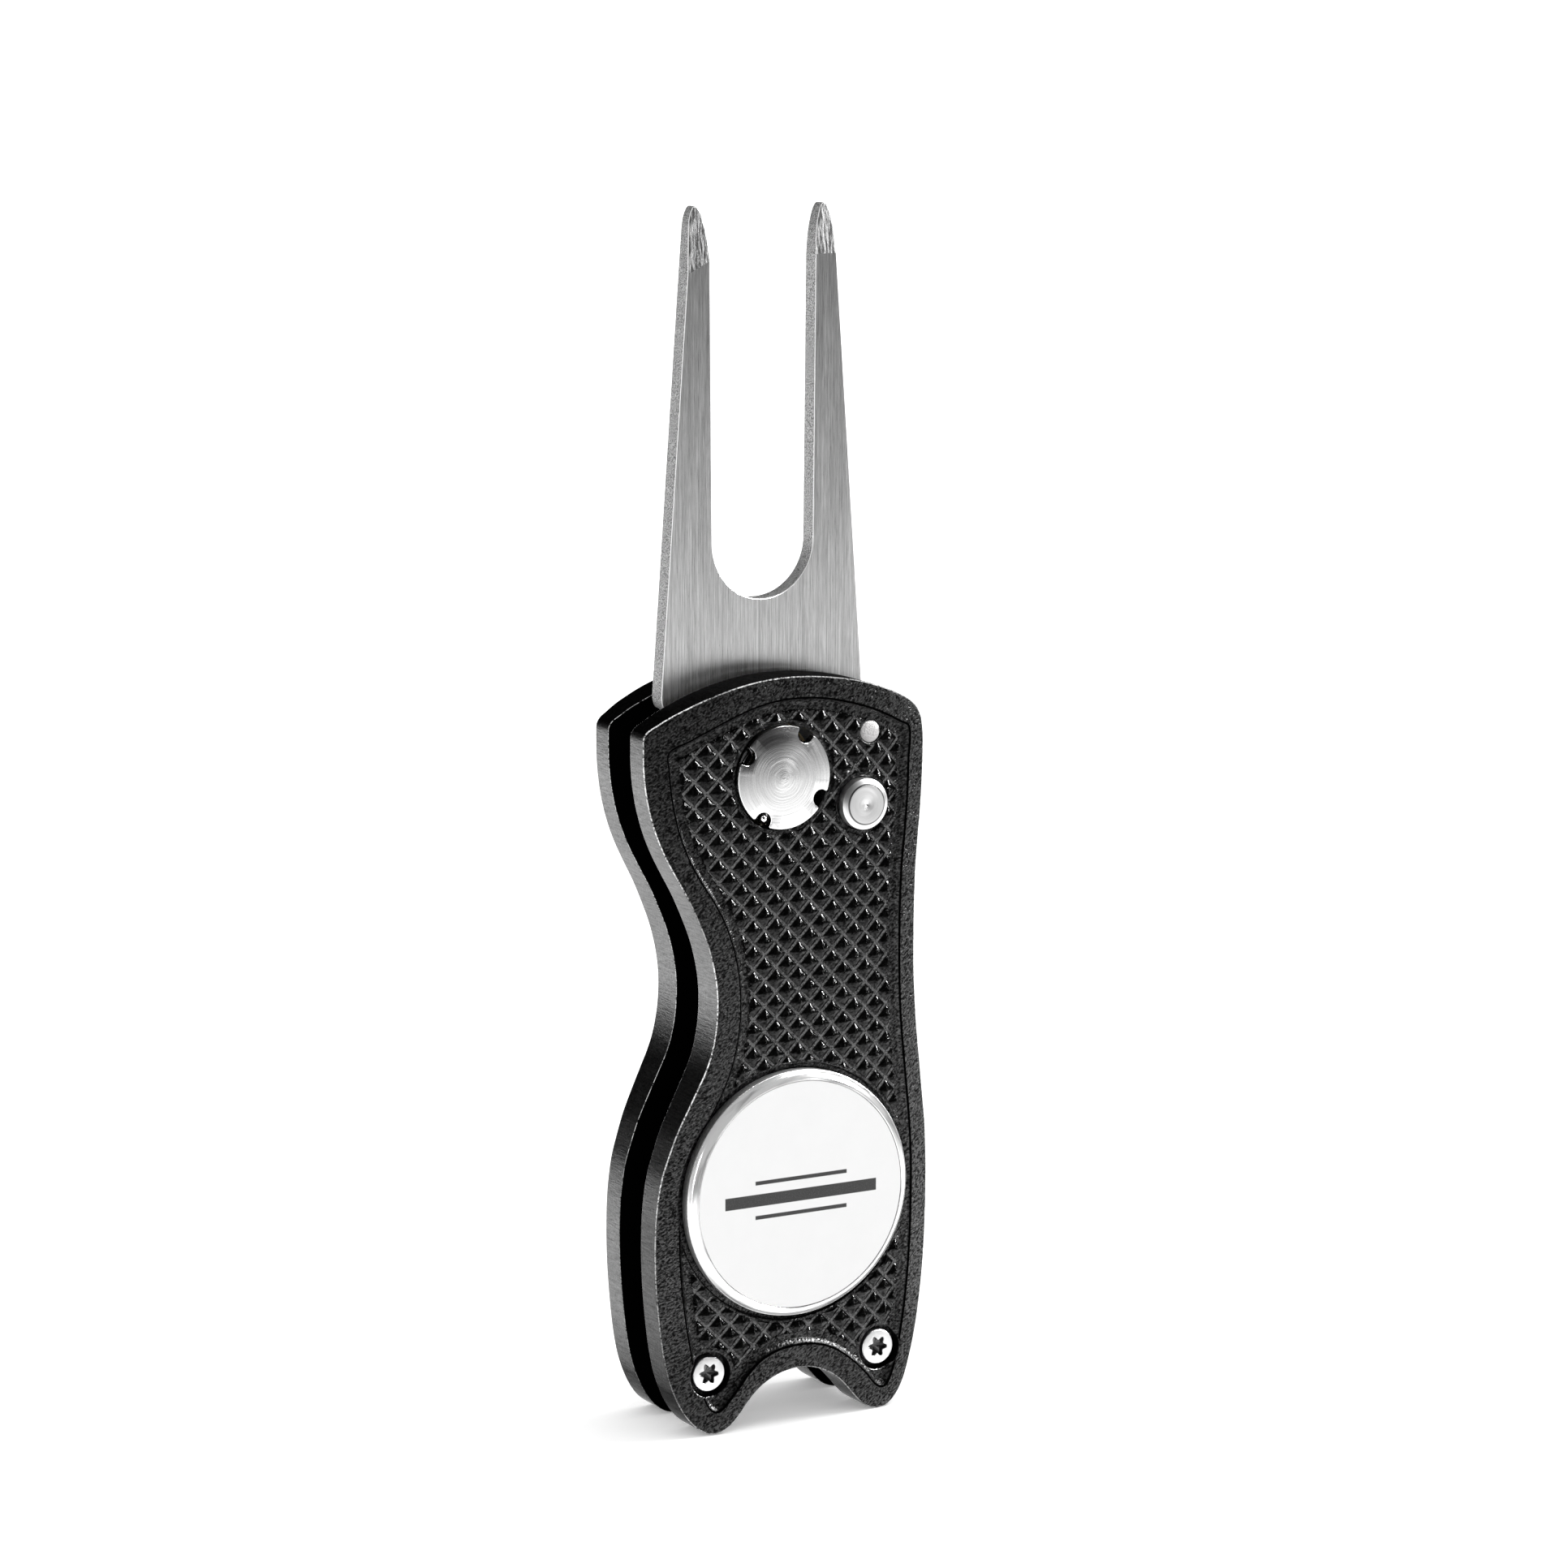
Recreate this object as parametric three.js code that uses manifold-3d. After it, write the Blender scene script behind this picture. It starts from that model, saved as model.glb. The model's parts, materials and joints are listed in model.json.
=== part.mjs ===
// Folding divot repair tool with a magnetic ball marker, shown open.
// Units are millimetres. +Z is up along the handle towards the fork tips,
// -Y is the front (marker) side, +X is the spine side.
// Shapes are drawn from the fork's pivot axis, half way between the two scales.
// The exported group's origin is the bottom centre of its bounding box.
import * as THREE from 'three';
import { mergeVertices } from 'three/addons/utils/BufferGeometryUtils.js';
import Module from 'manifold-3d';

// ---------- driving dimensions ----------
// Centres are [x, z]; Y values are measured from the middle of the fork plate.
const PIVOT = [0, 0];
const FRONT = -1;
const BACK = 1;
const BEYOND_Y = 8;               // cutters end here, outside both scales

const GAP_HALF = 2.25;            // half of the channel between the scales
const APEX_Y = 6.33;              // outer face of a scale on its flat centre land
const CROWN_X = 1.6;              // middle of the flat land
const CROWN_FLAT = 6.0;           // half width of the flat land
const CROWN_FALL = 0.0124;        // fall of the face outside the land (per mm^2)
const PANEL_DEPTH = 0.55;         // grip panel floor below the outer face
const SPACER_HALF = GAP_HALF - 0.02;

const DOWEL = [13.9, -13.0];
const DOWEL_R = 0.74;
const DOWEL_HALF = 3.3;
const DOWEL_HOLE_R = 0.8;

const FORK_T = 2.0;               // fork plate thickness
const FORK_X = 0.42;              // fork centreline, right of the pivot
const SHOULDER_Z = 8.2;
const PRONG_Z = 50;               // top of the straight tapered edges
const SLOT_BOTTOM_Z = 17.0;
const SLOT_R = 5.66;
const TANG_R = 7.9;
const TANG_BORE_R = 2.98;
const LOCK_NOTCH_R = 2.9;

const PIVOT_BORE_R = 5.3;         // bore of the front scale around the pivot cap
const CAP_R = 5.14;
const CAP_FACE_Y = -6.45;
const CAP_BACK_Y = CAP_FACE_Y + 1.1;
const CAP_NOTCH_R = 0.88;
const CAP_NOTCH_PITCH_R = 4.75;
const CAP_NOTCH_ANGLE = 60;       // first of four notches, degrees
const STEM_R = 1.5;               // stems of the cap and the rear bolt
const BARREL_R = 2.92;
const BARREL_BORE_R = 1.6;
const WASHER_R = 6.5;
const WASHER_INNER_Y = FORK_T / 2 + 0.05;
const WASHER_OUTER_Y = GAP_HALF - 0.03;

const COIL_R = 3.95;              // torsion spring wire centreline
const TANG_LEG_ANGLE = 171.4;     // spring leg in the tang, degrees
const TANG_LEG_HOLE = [-COIL_R, 0.6];

const BUTTON = [8.95, -3.34];
const BUTTON_R = 2.58;
const BUTTON_FLANGE_R = 2.95;
const BUTTON_NECK_R = 1.45;
const BUTTON_COLLAR_R = 2.75;
const BUTTON_PILOT_R = 0.95;
const BUTTON_CLEARANCE = 0.1;

const PIN = [9.95, 3.72];
const PIN_R = 1.13;

const MARKER = [1.55, -41.95];
const MARKER_R = 12.5;
const MARKER_FACE_Y = -7.0;
const MARKER_T = 1.9;
const INLAY_R = 11.5;
const INLAY_T = 0.33;
const SEAT_R = 13.1;
const SEAT_Y = -5.05;
const MAGNET_R = 5.0;
const MAGNET_T = 1.2;

const SCREW_Z = -59.42;
const RIGHT_SCREW = [11.36, SCREW_Z];
const SCREWS = { left: [-8.05, SCREW_Z], right: RIGHT_SCREW };
const SCREW_HEAD_R = 1.78;
const SCREW_HEAD_T = 0.9;
const SCREW_FACE_Y = -5.5;        // of a front screw
const SCREW_SHANK_R = 0.95;
const COUNTERBORE_R = 2.3;
const COUNTERBORE_Y = 4.55;
const STANDOFF_R = 2.2;
const STANDOFF_BORE_R = 1.02;

// Outlines are lists of [x, z], counter-clockwise seen from the front.
// Outer edge of both scales.
const SCALE_OUTLINE = [
  [-14.9, 5.0], [-14.98, 3.4], [-14.96, 1.9], [-14.82, 0.1], [-14.43, -2.24], [-13.75, -4.68],
  [-12.8, -7.0], [-11.65, -9.2], [-10.5, -11.3], [-9.4, -13.7], [-8.5, -16.0], [-7.86, -18.4],
  [-7.54, -20.6], [-7.5, -22.4], [-7.66, -24.5], [-8.15, -26.85], [-8.75, -28.5], [-9.54, -30.1],
  [-10.7, -32.4], [-11.8, -34.7], [-12.65, -37.0], [-13.2, -38.7], [-13.55, -40.4],
  [-13.85, -42.9], [-13.96, -46.2], [-13.9, -49.4], [-13.65, -52.8], [-13.2, -56.6],
  [-12.65, -59.3], [-12.0, -61.2], [-11.1, -63.0], [-10.0, -64.4], [-8.8, -65.25], [-7.8, -65.5],
  [-6.9, -65.3], [-6.0, -64.8], [-5.0, -63.8], [-4.0, -62.6], [-3.1, -61.7], [-2.0, -60.95],
  [-0.7, -60.35], [0.6, -60.05], [2.0, -59.97], [3.6, -60.25], [5.1, -60.9], [6.3, -61.75],
  [7.3, -62.8], [8.3, -64.0], [9.3, -64.95], [10.3, -65.45], [11.3, -65.6], [12.3, -65.35],
  [13.3, -64.5], [14.15, -63.2], [14.95, -61.0], [15.65, -58.4], [16.25, -55.1], [16.75, -50.9],
  [17.0, -46.7], [17.08, -42.5], [17.04, -40.0], [16.85, -36.6], [16.42, -33.1], [16.05, -29.8],
  [15.71, -27.0], [15.45, -24.0], [15.27, -20.6], [15.24, -17.0], [15.3, -13.2], [15.45, -9.8],
  [15.68, -7.4], [16.0, -4.2], [16.2, -0.8], [16.28, 1.6], [16.22, 3.4], [15.95, 4.8],
  [15.35, 5.85], [14.37, 6.65], [12.33, 7.68], [10.33, 8.45], [8.37, 9.03], [6.45, 9.42],
  [4.57, 9.7], [2.71, 9.88], [0.9, 9.95], [-0.9, 9.92], [-2.67, 9.77], [-4.41, 9.5],
  [-6.13, 9.12], [-7.83, 8.63], [-9.5, 8.05], [-11.16, 7.35], [-12.6, 6.68], [-13.75, 6.0],
  [-14.5, 5.55],
];
// Grip panel: inside edge of the rim.
const PANEL_OUTLINE = [
  [-12.4, 3.3], [-12.38, 1.6], [-12.0, -1.8], [-11.3, -4.8], [-10.3, -7.4], [-9.1, -9.6],
  [-7.7, -11.8], [-6.6, -13.9], [-5.75, -16.2], [-5.15, -18.8], [-4.92, -21.2], [-4.95, -23.6],
  [-5.25, -25.9], [-5.85, -28.3], [-6.75, -30.5], [-7.95, -32.7], [-9.3, -34.8], [-10.3, -37.0],
  [-11.0, -39.6], [-11.35, -42.6], [-11.4, -46.2], [-11.24, -49.5], [-10.9, -52.8],
  [-10.35, -56.3], [-9.75, -59.3], [-8.95, -61.5], [-8.2, -62.9], [-7.6, -63.25], [-6.9, -63.0],
  [-6.2, -62.3], [-5.2, -61.2], [-4.1, -59.9], [-2.56, -58.6], [-0.75, -57.85], [1.1, -57.6],
  [2.97, -57.65], [4.7, -58.05], [6.4, -58.9], [8.1, -60.2], [9.6, -61.7], [10.6, -62.9],
  [11.3, -63.4], [12.0, -63.3], [12.6, -62.4], [13.2, -60.6], [13.9, -57.4], [14.5, -53.4],
  [14.9, -48.6], [15.05, -43.6], [15.0, -39.6], [14.7, -35.6], [14.3, -32.0], [13.8, -27.6],
  [13.5, -24.2], [13.38, -20.6], [13.35, -16.8], [13.42, -12.8], [13.62, -9.4], [13.95, -6.4],
  [14.22, -3.0], [14.35, 0.4], [14.4, 3.9], [13.36, 4.5], [10.35, 5.92], [7.42, 6.88],
  [4.58, 7.5], [1.8, 7.74], [-0.9, 7.63], [-3.54, 7.09], [-6.13, 6.2], [-7.83, 5.47],
  [-10.34, 4.35],
];
// Spine spacer: inner edge downwards, foot, outer edge upwards.
const SPACER_OUTLINE = [
  [12.55, -9.8], [12.5, -14], [12.45, -20], [12.5, -26], [12.7, -32], [13.0, -38],
  [13.15, -44], [13.1, -50], [12.9, -54.6], [11.2, -55.6], [10.2, -56.6],
  [14.6, -58.6], [15.25, -54.9], [15.75, -50.9], [16.05, -46.5], [16.1, -42.5], [15.9, -37],
  [15.4, -32], [14.75, -27], [14.4, -22], [14.3, -17], [14.5, -11.5], [14.75, -9.8],
];
// Right prong tip, [x from the fork centreline, z], outer side to slot side:
// a start point, then pairs of curve control point and curve end.
const PRONG_TIP = [
  [7.98, 53.0],
  [7.75, 55.0], [7.2, 55.48],
  [6.85, 55.5], [6.55, 54.7],
  [5.95, 52.9], [5.88, 50.2],
];

// ---------- solid helpers ----------
const wasm = await Module();
wasm.setup();

function toSolid(geometry) {
  const bare = geometry.clone();
  for (const name of Object.keys(bare.attributes)) {
    if (name !== 'position') bare.deleteAttribute(name);
  }
  const merged = mergeVertices(bare, 1e-4);
  return new wasm.Manifold(new wasm.Mesh({
    numProp: 3,
    vertProperties: new Float32Array(merged.attributes.position.array),
    triVerts: new Uint32Array(merged.index.array),
  }));
}

function toGeometry(solid) {
  const mesh = solid.getMesh();
  const indexed = new THREE.BufferGeometry();
  const positions = new Float32Array(mesh.vertProperties);
  indexed.setAttribute('position', new THREE.BufferAttribute(positions, 3));
  indexed.setIndex(new THREE.BufferAttribute(new Uint32Array(mesh.triVerts), 1));
  const flat = indexed.toNonIndexed();
  flat.computeVertexNormals();
  return flat;
}

const cut = (body, ...cutters) => cutters.reduce((rest, cutter) => rest.subtract(cutter), body);

const polyShape = (points) => new THREE.Shape(points.map(([x, y]) => new THREE.Vector2(x, y)));

// [x, z] at a radius and an angle in degrees around a centre
function polar(radius, degrees, [x, z] = PIVOT) {
  const angle = THREE.MathUtils.degToRad(degrees);
  return [x + radius * Math.cos(angle), z + radius * Math.sin(angle)];
}

const extrude = (shape, depth, curveSegments = 12) => (
  new THREE.ExtrudeGeometry(shape, { depth, bevelEnabled: false, steps: 1, curveSegments }));

// shape drawn in X,Z, extruded along Y
function prismY(shape, [y0, y1], curveSegments) {
  const geometry = extrude(shape, y1 - y0, curveSegments);
  geometry.rotateX(Math.PI / 2);   // shape X,Y -> X,Z ; depth -> -Y
  geometry.translate(0, y1, 0);
  return toSolid(geometry);
}

function cylinderY([x, z], radius, [y0, y1], segments) {
  const geometry = new THREE.CylinderGeometry(radius, radius, y1 - y0, segments, 1);
  geometry.translate(x, (y0 + y1) / 2, z);
  return toSolid(geometry);
}

// body turned about an axis along Y; profile is a list of [radius, y above baseY]
function turnedY([x, z], profile, segments, baseY = 0) {
  const points = profile.map(([radius, y]) => new THREE.Vector2(radius, baseY + y));
  const geometry = new THREE.LatheGeometry(points, segments);
  geometry.translate(x, 0, z);
  return toSolid(geometry);
}

function ringY(centre, innerR, outerR, [y0, y1], segments) {
  const profile = [[innerR, y0], [outerR, y0], [outerR, y1], [innerR, y1], [innerR, y0]];
  return turnedY(centre, profile, segments);
}

// round wire swept through a list of [x, y, z]
function wire(points, radius, steps, sides) {
  const extrudePath = new THREE.CatmullRomCurve3(
    points.map((point) => new THREE.Vector3(...point)), false, 'centripetal');
  const section = polyShape(Array.from({ length: sides }, (_, i) => polar(radius, 360 * i / sides)));
  return toSolid(new THREE.ExtrudeGeometry(section, { steps, extrudePath, bevelEnabled: false }));
}

function wirePoint(radius, degrees, y, centre) {
  const [x, z] = polar(radius, degrees, centre);
  return [x, y, z];
}

// Y span on one side of the fork, from distances near..far measured outwards
const outward = (side, near, far) => (side === FRONT ? [-far, -near] : [near, far]);

// ---------- scales ----------
// everything outside the crowned face, pushed in by "inset"
function outsideCrown(side, inset) {
  const stations = [
    -18, -16, -14, -12, -10, -8, -6.2, CROWN_X - CROWN_FLAT,
    CROWN_X + CROWN_FLAT, 9.4, 11.2, 13.2, 15.2, 17.2, 19,
  ];
  const face = stations.map((x) => {
    const beyondLand = Math.max(0, Math.abs(x - CROWN_X) - CROWN_FLAT);
    return [x, side * (APEX_Y - inset - CROWN_FALL * beyondLand ** 2)];
  });
  const outerY = side * 12;
  const shape = polyShape([[stations[0], outerY], ...face, [stations.at(-1), outerY]]);
  const geometry = extrude(shape, 90);
  geometry.translate(0, 0, -75);   // shape stays in X,Y ; depth runs along Z
  return toSolid(geometry);
}

// crowned scale with its grip panel and the holes that both scales share
function scaleBody(side) {
  const through = outward(side, 0, BEYOND_Y);
  const blank = prismY(polyShape(SCALE_OUTLINE), outward(side, GAP_HALF, APEX_Y + 0.4));
  const panel = prismY(polyShape(PANEL_OUTLINE), outward(side, GAP_HALF + 1, APEX_Y + 1))
    .intersect(outsideCrown(side, PANEL_DEPTH));
  const screwHoles = Object.values(SCREWS).flatMap((centre) => [
    cylinderY(centre, COUNTERBORE_R, outward(side, COUNTERBORE_Y, BEYOND_Y), 28),
    cylinderY(centre, SCREW_SHANK_R + 0.1, through, 20),
  ]);
  return cut(
    blank,
    outsideCrown(side, 0),
    panel,
    cylinderY(PIN, PIN_R + 0.05, through, 24),
    ...screwHoles,
    cylinderY(DOWEL, DOWEL_HOLE_R, outward(side, 0, DOWEL_HALF + 0.1), 16),
  );
}

function frontScale() {
  const magnetPocket = [-BEYOND_Y, SEAT_Y + MAGNET_T + 0.04];
  return cut(
    scaleBody(FRONT),
    cylinderY(PIVOT, PIVOT_BORE_R, [-BEYOND_Y, 0], 48),
    cylinderY(BUTTON, BUTTON_R + BUTTON_CLEARANCE, [-BEYOND_Y, 0], 36),
    cylinderY(BUTTON, BUTTON_FLANGE_R + BUTTON_CLEARANCE, [-3.0, 0], 36),
    cylinderY(MARKER, SEAT_R, [-BEYOND_Y, SEAT_Y], 64),
    cylinderY(MARKER, MAGNET_R + 0.06, magnetPocket, 40),
  );
}

function backScale() {
  return cut(
    scaleBody(BACK),
    cylinderY(PIVOT, 3.7, [5.2, BEYOND_Y], 32),              // bolt head recess
    cylinderY(PIVOT, 1.7, [0, BEYOND_Y], 24),                // bolt stem hole
    cylinderY(PIVOT, BARREL_R + 0.08, [0, 3.3], 40),         // barrel pocket
    cylinderY(BUTTON, BUTTON_COLLAR_R + BUTTON_CLEARANCE, [0, 5.35], 32),
  );
}

// spacer between the scales, with an eye around the right standoff
function spineSpacer() {
  const span = [-SPACER_HALF, SPACER_HALF];
  const body = prismY(polyShape(SPACER_OUTLINE), span).add(cylinderY(RIGHT_SCREW, 3.35, span, 40));
  return cut(
    body,
    cylinderY(RIGHT_SCREW, STANDOFF_R + 0.08, [-4, 4], 32),
    cylinderY(DOWEL, DOWEL_HOLE_R, [-4, 4], 16),
  );
}

const spineDowel = () => cylinderY(DOWEL, DOWEL_R, [-DOWEL_HALF, DOWEL_HALF], 16);

// ---------- fork ----------
function forkShape() {
  const halfWidth = (z) => 11.85 - 0.0729 * z;
  const left = (z) => FORK_X - halfWidth(z);
  const right = (z) => FORK_X + halfWidth(z);
  const shape = new THREE.Shape();
  const arc = (centre, radius, from, to, steps) => {
    for (let i = 0; i <= steps; i++) {
      shape.lineTo(...polar(radius, from + (to - from) * i / steps, centre));
    }
  };
  const prongTip = (points) => {
    const [start, ...curves] = points.map(([x, z]) => [FORK_X + x, z]);
    shape.lineTo(...start);
    for (let i = 0; i < curves.length; i += 2) {
      shape.quadraticCurveTo(...curves[i], ...curves[i + 1]);
    }
  };

  // left shoulder
  shape.moveTo(left(SHOULDER_Z), SHOULDER_Z);
  shape.quadraticCurveTo(left(7.0), 6.75, -10.1, 6.65);
  shape.lineTo(-9.6, 6.2);
  // tang, between the lock notches for the folded and the open position
  arc(BUTTON.map((value) => -value), LOCK_NOTCH_R, 97, -62, 12);
  arc(PIVOT, TANG_R, 178, 323, 22);
  arc(BUTTON, LOCK_NOTCH_R, 207, 112, 9);
  arc(PIVOT, TANG_R, -4, 10, 3);
  // stop seat on the pin, then the right shoulder
  arc(PIN, PIN_R + 0.12, 200, 62, 9);
  shape.lineTo(11.1, 6.1);
  shape.quadraticCurveTo(right(7.0), 6.75, right(SHOULDER_Z), SHOULDER_Z);
  // right prong, slot with a round bottom, left prong
  shape.lineTo(right(PRONG_Z), PRONG_Z);
  prongTip(PRONG_TIP);
  shape.lineTo(FORK_X + SLOT_R, SLOT_BOTTOM_Z + 5.8);
  arc([FORK_X, SLOT_BOTTOM_Z + SLOT_R], SLOT_R, -9, -171, 18);
  shape.lineTo(FORK_X - SLOT_R, SLOT_BOTTOM_Z + 5.8);
  prongTip(PRONG_TIP.map(([x, z]) => [-x, z]).reverse());
  shape.lineTo(left(PRONG_Z), PRONG_Z);
  shape.closePath();
  return shape;
}

// wedge that bevels the front of both tips, drawn in Y,Z
function tipBevel() {
  const geometry = extrude(polyShape([[-1.0, 49.4], [-0.25, 56.5], [-3, 56.5], [-3, 49.4]]), 30);
  // shape X -> Y, shape Y -> Z, depth -> X
  geometry.applyMatrix4(new THREE.Matrix4().set(
    0, 0, 1, -15,
    1, 0, 0, 0,
    0, 1, 0, 0,
    0, 0, 0, 1,
  ));
  return toSolid(geometry);
}

function fork() {
  return cut(
    prismY(forkShape(), [-FORK_T / 2, FORK_T / 2], 5),
    cylinderY(PIVOT, TANG_BORE_R, [-2, 2], 40),
    cylinderY(TANG_LEG_HOLE, 0.5, [-2, 2], 12),
    tipBevel(),
  );
}

// ---------- pivot ----------
// notched cap with a stem
function pivotCap() {
  const body = turnedY(PIVOT, [
    [0, CAP_FACE_Y], [4.7, CAP_FACE_Y + 0.08], [CAP_R, CAP_FACE_Y + 0.3],
    [CAP_R, CAP_BACK_Y], [STEM_R, CAP_BACK_Y], [STEM_R, -1.2], [0, -1.2],
  ], 48);
  const notches = [0, 90, 180, 270].map((turn) => {
    const centre = polar(CAP_NOTCH_PITCH_R, CAP_NOTCH_ANGLE + turn);
    return cylinderY(centre, CAP_NOTCH_R, [-8, -4], 16);
  });
  return cut(body, ...notches);
}

const pivotBarrel = () => ringY(PIVOT, BARREL_BORE_R, BARREL_R, [CAP_BACK_Y + 0.03, 3.25], 40);

// rear bolt with a hexagonal socket
function pivotBolt() {
  const body = turnedY(PIVOT, [
    [0, -0.9], [STEM_R, -0.9], [STEM_R, 5.23],
    [3.6, 5.23], [3.6, 6.05], [3.35, 6.25], [0, 6.25],
  ], 32);
  return cut(body, cylinderY(PIVOT, 1.25, [5.5, 8], 6));
}

const washer = (side, boreR) => (
  ringY(PIVOT, boreR, WASHER_R, outward(side, WASHER_INNER_Y, WASHER_OUTER_Y), 40));

// spring around the barrel: one leg in a cap notch, one in the tang
function torsionSpring() {
  const notchAngle = CAP_NOTCH_ANGLE + 180;
  const coilStart = notchAngle + 2;
  const turns = 3 + (TANG_LEG_ANGLE - coilStart) / 360;
  const [frontY, backY] = [-4.75, -1.75];
  const points = [
    wirePoint(4.5, notchAngle, -5.95),
    wirePoint(4.47, notchAngle, -5.35),
    wirePoint(4.3, notchAngle + 1, -4.95),
  ];
  const count = Math.round(turns * 14);
  for (let i = 1; i < count; i++) {
    const fraction = i / count;
    const angle = coilStart + 6 + (turns * 360 - 12) * fraction;
    points.push(wirePoint(COIL_R, angle, frontY + (backY - frontY) * fraction));
  }
  for (const y of [-1.35, -0.6, 0.1]) points.push(wirePoint(COIL_R, TANG_LEG_ANGLE, y));
  return wire(points, 0.36, 72, 6);
}

// ---------- lock button and stop pin ----------
// cap, flange, neck, collar and spring pilot in one turned piece
function lockButton() {
  return turnedY(BUTTON, [
    [0, -6.85], [1.98, -6.85], [BUTTON_R, -6.5], [BUTTON_R, -2.92],
    [BUTTON_FLANGE_R, -2.92], [BUTTON_FLANGE_R, -2.4],
    [BUTTON_NECK_R, -2.4], [BUTTON_NECK_R, 1.2],
    [BUTTON_COLLAR_R, 1.2], [BUTTON_COLLAR_R, 2.35],
    [BUTTON_PILOT_R, 2.35], [BUTTON_PILOT_R, 3.0], [0, 3.0],
  ], 30);
}

function buttonSpring() {
  const perTurn = 12;
  const count = 3.25 * perTurn;
  const points = [];
  for (let i = 0; i <= count; i++) {
    points.push(wirePoint(1.75, 360 * i / perTurn, 2.62 + 2.45 * i / count, BUTTON));
  }
  return wire(points, 0.2, 44, 5);
}

function stopPin() {
  return turnedY(PIN, [
    [0, -5.75], [0.95, -5.75], [PIN_R, -5.6], [PIN_R, 5.6], [0.95, 5.75], [0, 5.75],
  ], 24);
}

// ---------- ball marker ----------
// disc with a shallow pocket for the inlay
function markerBody() {
  const pocketR = INLAY_R + 0.06;
  const pocketDepth = INLAY_T + 0.03;
  return turnedY(MARKER, [
    [0, pocketDepth], [pocketR, pocketDepth], [pocketR, 0], [11.72, 0], [12.3, 0.32],
    [MARKER_R, 0.75], [MARKER_R, MARKER_T - 0.15], [12.35, MARKER_T], [0, MARKER_T],
  ], 52, MARKER_FACE_Y);
}

function markerInlay() {
  return turnedY(MARKER, [[0, 0], [INLAY_R, 0], [INLAY_R, INLAY_T], [0, INLAY_T]], 52, MARKER_FACE_Y);
}

function markerMagnet() {
  return turnedY(MARKER, [
    [0, 0], [MAGNET_R - 0.15, 0], [MAGNET_R, 0.15], [MAGNET_R, MAGNET_T], [0, MAGNET_T],
  ], 40, SEAT_Y);
}

// ---------- handle screws and standoffs ----------
// six-lobe screw, drawn on the front and mirrored for the back
function screw(centre, side) {
  const face = SCREW_FACE_Y;
  const underHead = face + SCREW_HEAD_T;
  const body = turnedY(centre, [
    [0, face], [1.62, face], [SCREW_HEAD_R, face + 0.16], [SCREW_HEAD_R, underHead],
    [SCREW_SHANK_R, underHead], [SCREW_SHANK_R, -0.25], [0, -0.25],
  ], 28);
  const lobes = Array.from({ length: 24 }, (_, i) => {
    const angle = 360 * i / 24;
    const radius = 0.93 + 0.24 * Math.cos(THREE.MathUtils.degToRad(6 * angle));
    return polar(radius, angle, centre);
  });
  const front = cut(body, prismY(polyShape(lobes), [face - 0.5, face + 0.6]));
  return side === BACK ? front.mirror([0, 1, 0]) : front;
}

const standoff = (centre) => (
  ringY(centre, STANDOFF_BORE_R, STANDOFF_R, [-SPACER_HALF, SPACER_HALF], 32));

// ---------- finishes ----------
const FINISH = {
  scale: { color: 0x17181a, roughness: 0.5, metalness: 0.0 },
  spacer: { color: 0x1c1d1f, roughness: 0.55, metalness: 0.0 },
  steel: { color: 0xb9babb, roughness: 0.34, metalness: 1.0 },
  fork: { color: 0xa9abad, roughness: 0.38, metalness: 1.0 },
  cap: { color: 0xcfd0d0, roughness: 0.28, metalness: 1.0 },
  washer: { color: 0xc9a45c, roughness: 0.45, metalness: 1.0 },
  spring: { color: 0xd2d3d4, roughness: 0.2, metalness: 1.0 },
  button: { color: 0xd8d8d8, roughness: 0.25, metalness: 1.0 },
  pin: { color: 0xd9d6d5, roughness: 0.5, metalness: 1.0 },
  marker: { color: 0xe2e3e4, roughness: 0.1, metalness: 1.0 },
  inlay: { color: 0xf3f3f3, roughness: 0.2, metalness: 0.0 },
  magnet: { color: 0xc4c6c8, roughness: 0.22, metalness: 1.0 },
};

// ---------- scene graph ----------
function addPart(parent, name, solid, finish) {
  const mesh = new THREE.Mesh(toGeometry(solid), new THREE.MeshStandardMaterial(finish));
  mesh.name = name;
  parent.add(mesh);
}

const group = new THREE.Group();
const tool = new THREE.Group();
const markerGroup = new THREE.Group();
const forkGroup = new THREE.Group();
const buttonGroup = new THREE.Group();
group.add(tool);
tool.add(markerGroup, forkGroup, buttonGroup);

// the scales set the width and the foot; the marker and the back scale set the depth
const outlineX = SCALE_OUTLINE.map(([x]) => x);
const outlineZ = SCALE_OUTLINE.map(([, z]) => z);
tool.position.set(
  -(Math.min(...outlineX) + Math.max(...outlineX)) / 2,
  -(MARKER_FACE_Y + APEX_Y) / 2,
  -Math.min(...outlineZ),
);

addPart(tool, 'front_scale', frontScale(), FINISH.scale);
addPart(tool, 'back_scale', backScale(), FINISH.scale);
addPart(tool, 'spine_spacer', spineSpacer(), FINISH.spacer);
addPart(tool, 'spine_dowel', spineDowel(), FINISH.steel);
addPart(forkGroup, 'fork', fork(), FINISH.fork);
addPart(tool, 'pivot_cap', pivotCap(), FINISH.cap);
addPart(tool, 'pivot_barrel', pivotBarrel(), FINISH.steel);
addPart(tool, 'pivot_bolt', pivotBolt(), FINISH.steel);
addPart(tool, 'washer_front', washer(FRONT, 5.45), FINISH.washer);
addPart(tool, 'washer_back', washer(BACK, 3.05), FINISH.washer);
addPart(tool, 'torsion_spring', torsionSpring(), FINISH.spring);
addPart(buttonGroup, 'lock_button', lockButton(), FINISH.button);
addPart(tool, 'button_spring', buttonSpring(), FINISH.spring);
addPart(tool, 'stop_pin', stopPin(), FINISH.pin);
addPart(markerGroup, 'marker_body', markerBody(), FINISH.marker);
addPart(markerGroup, 'marker_inlay', markerInlay(), FINISH.inlay);
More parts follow.
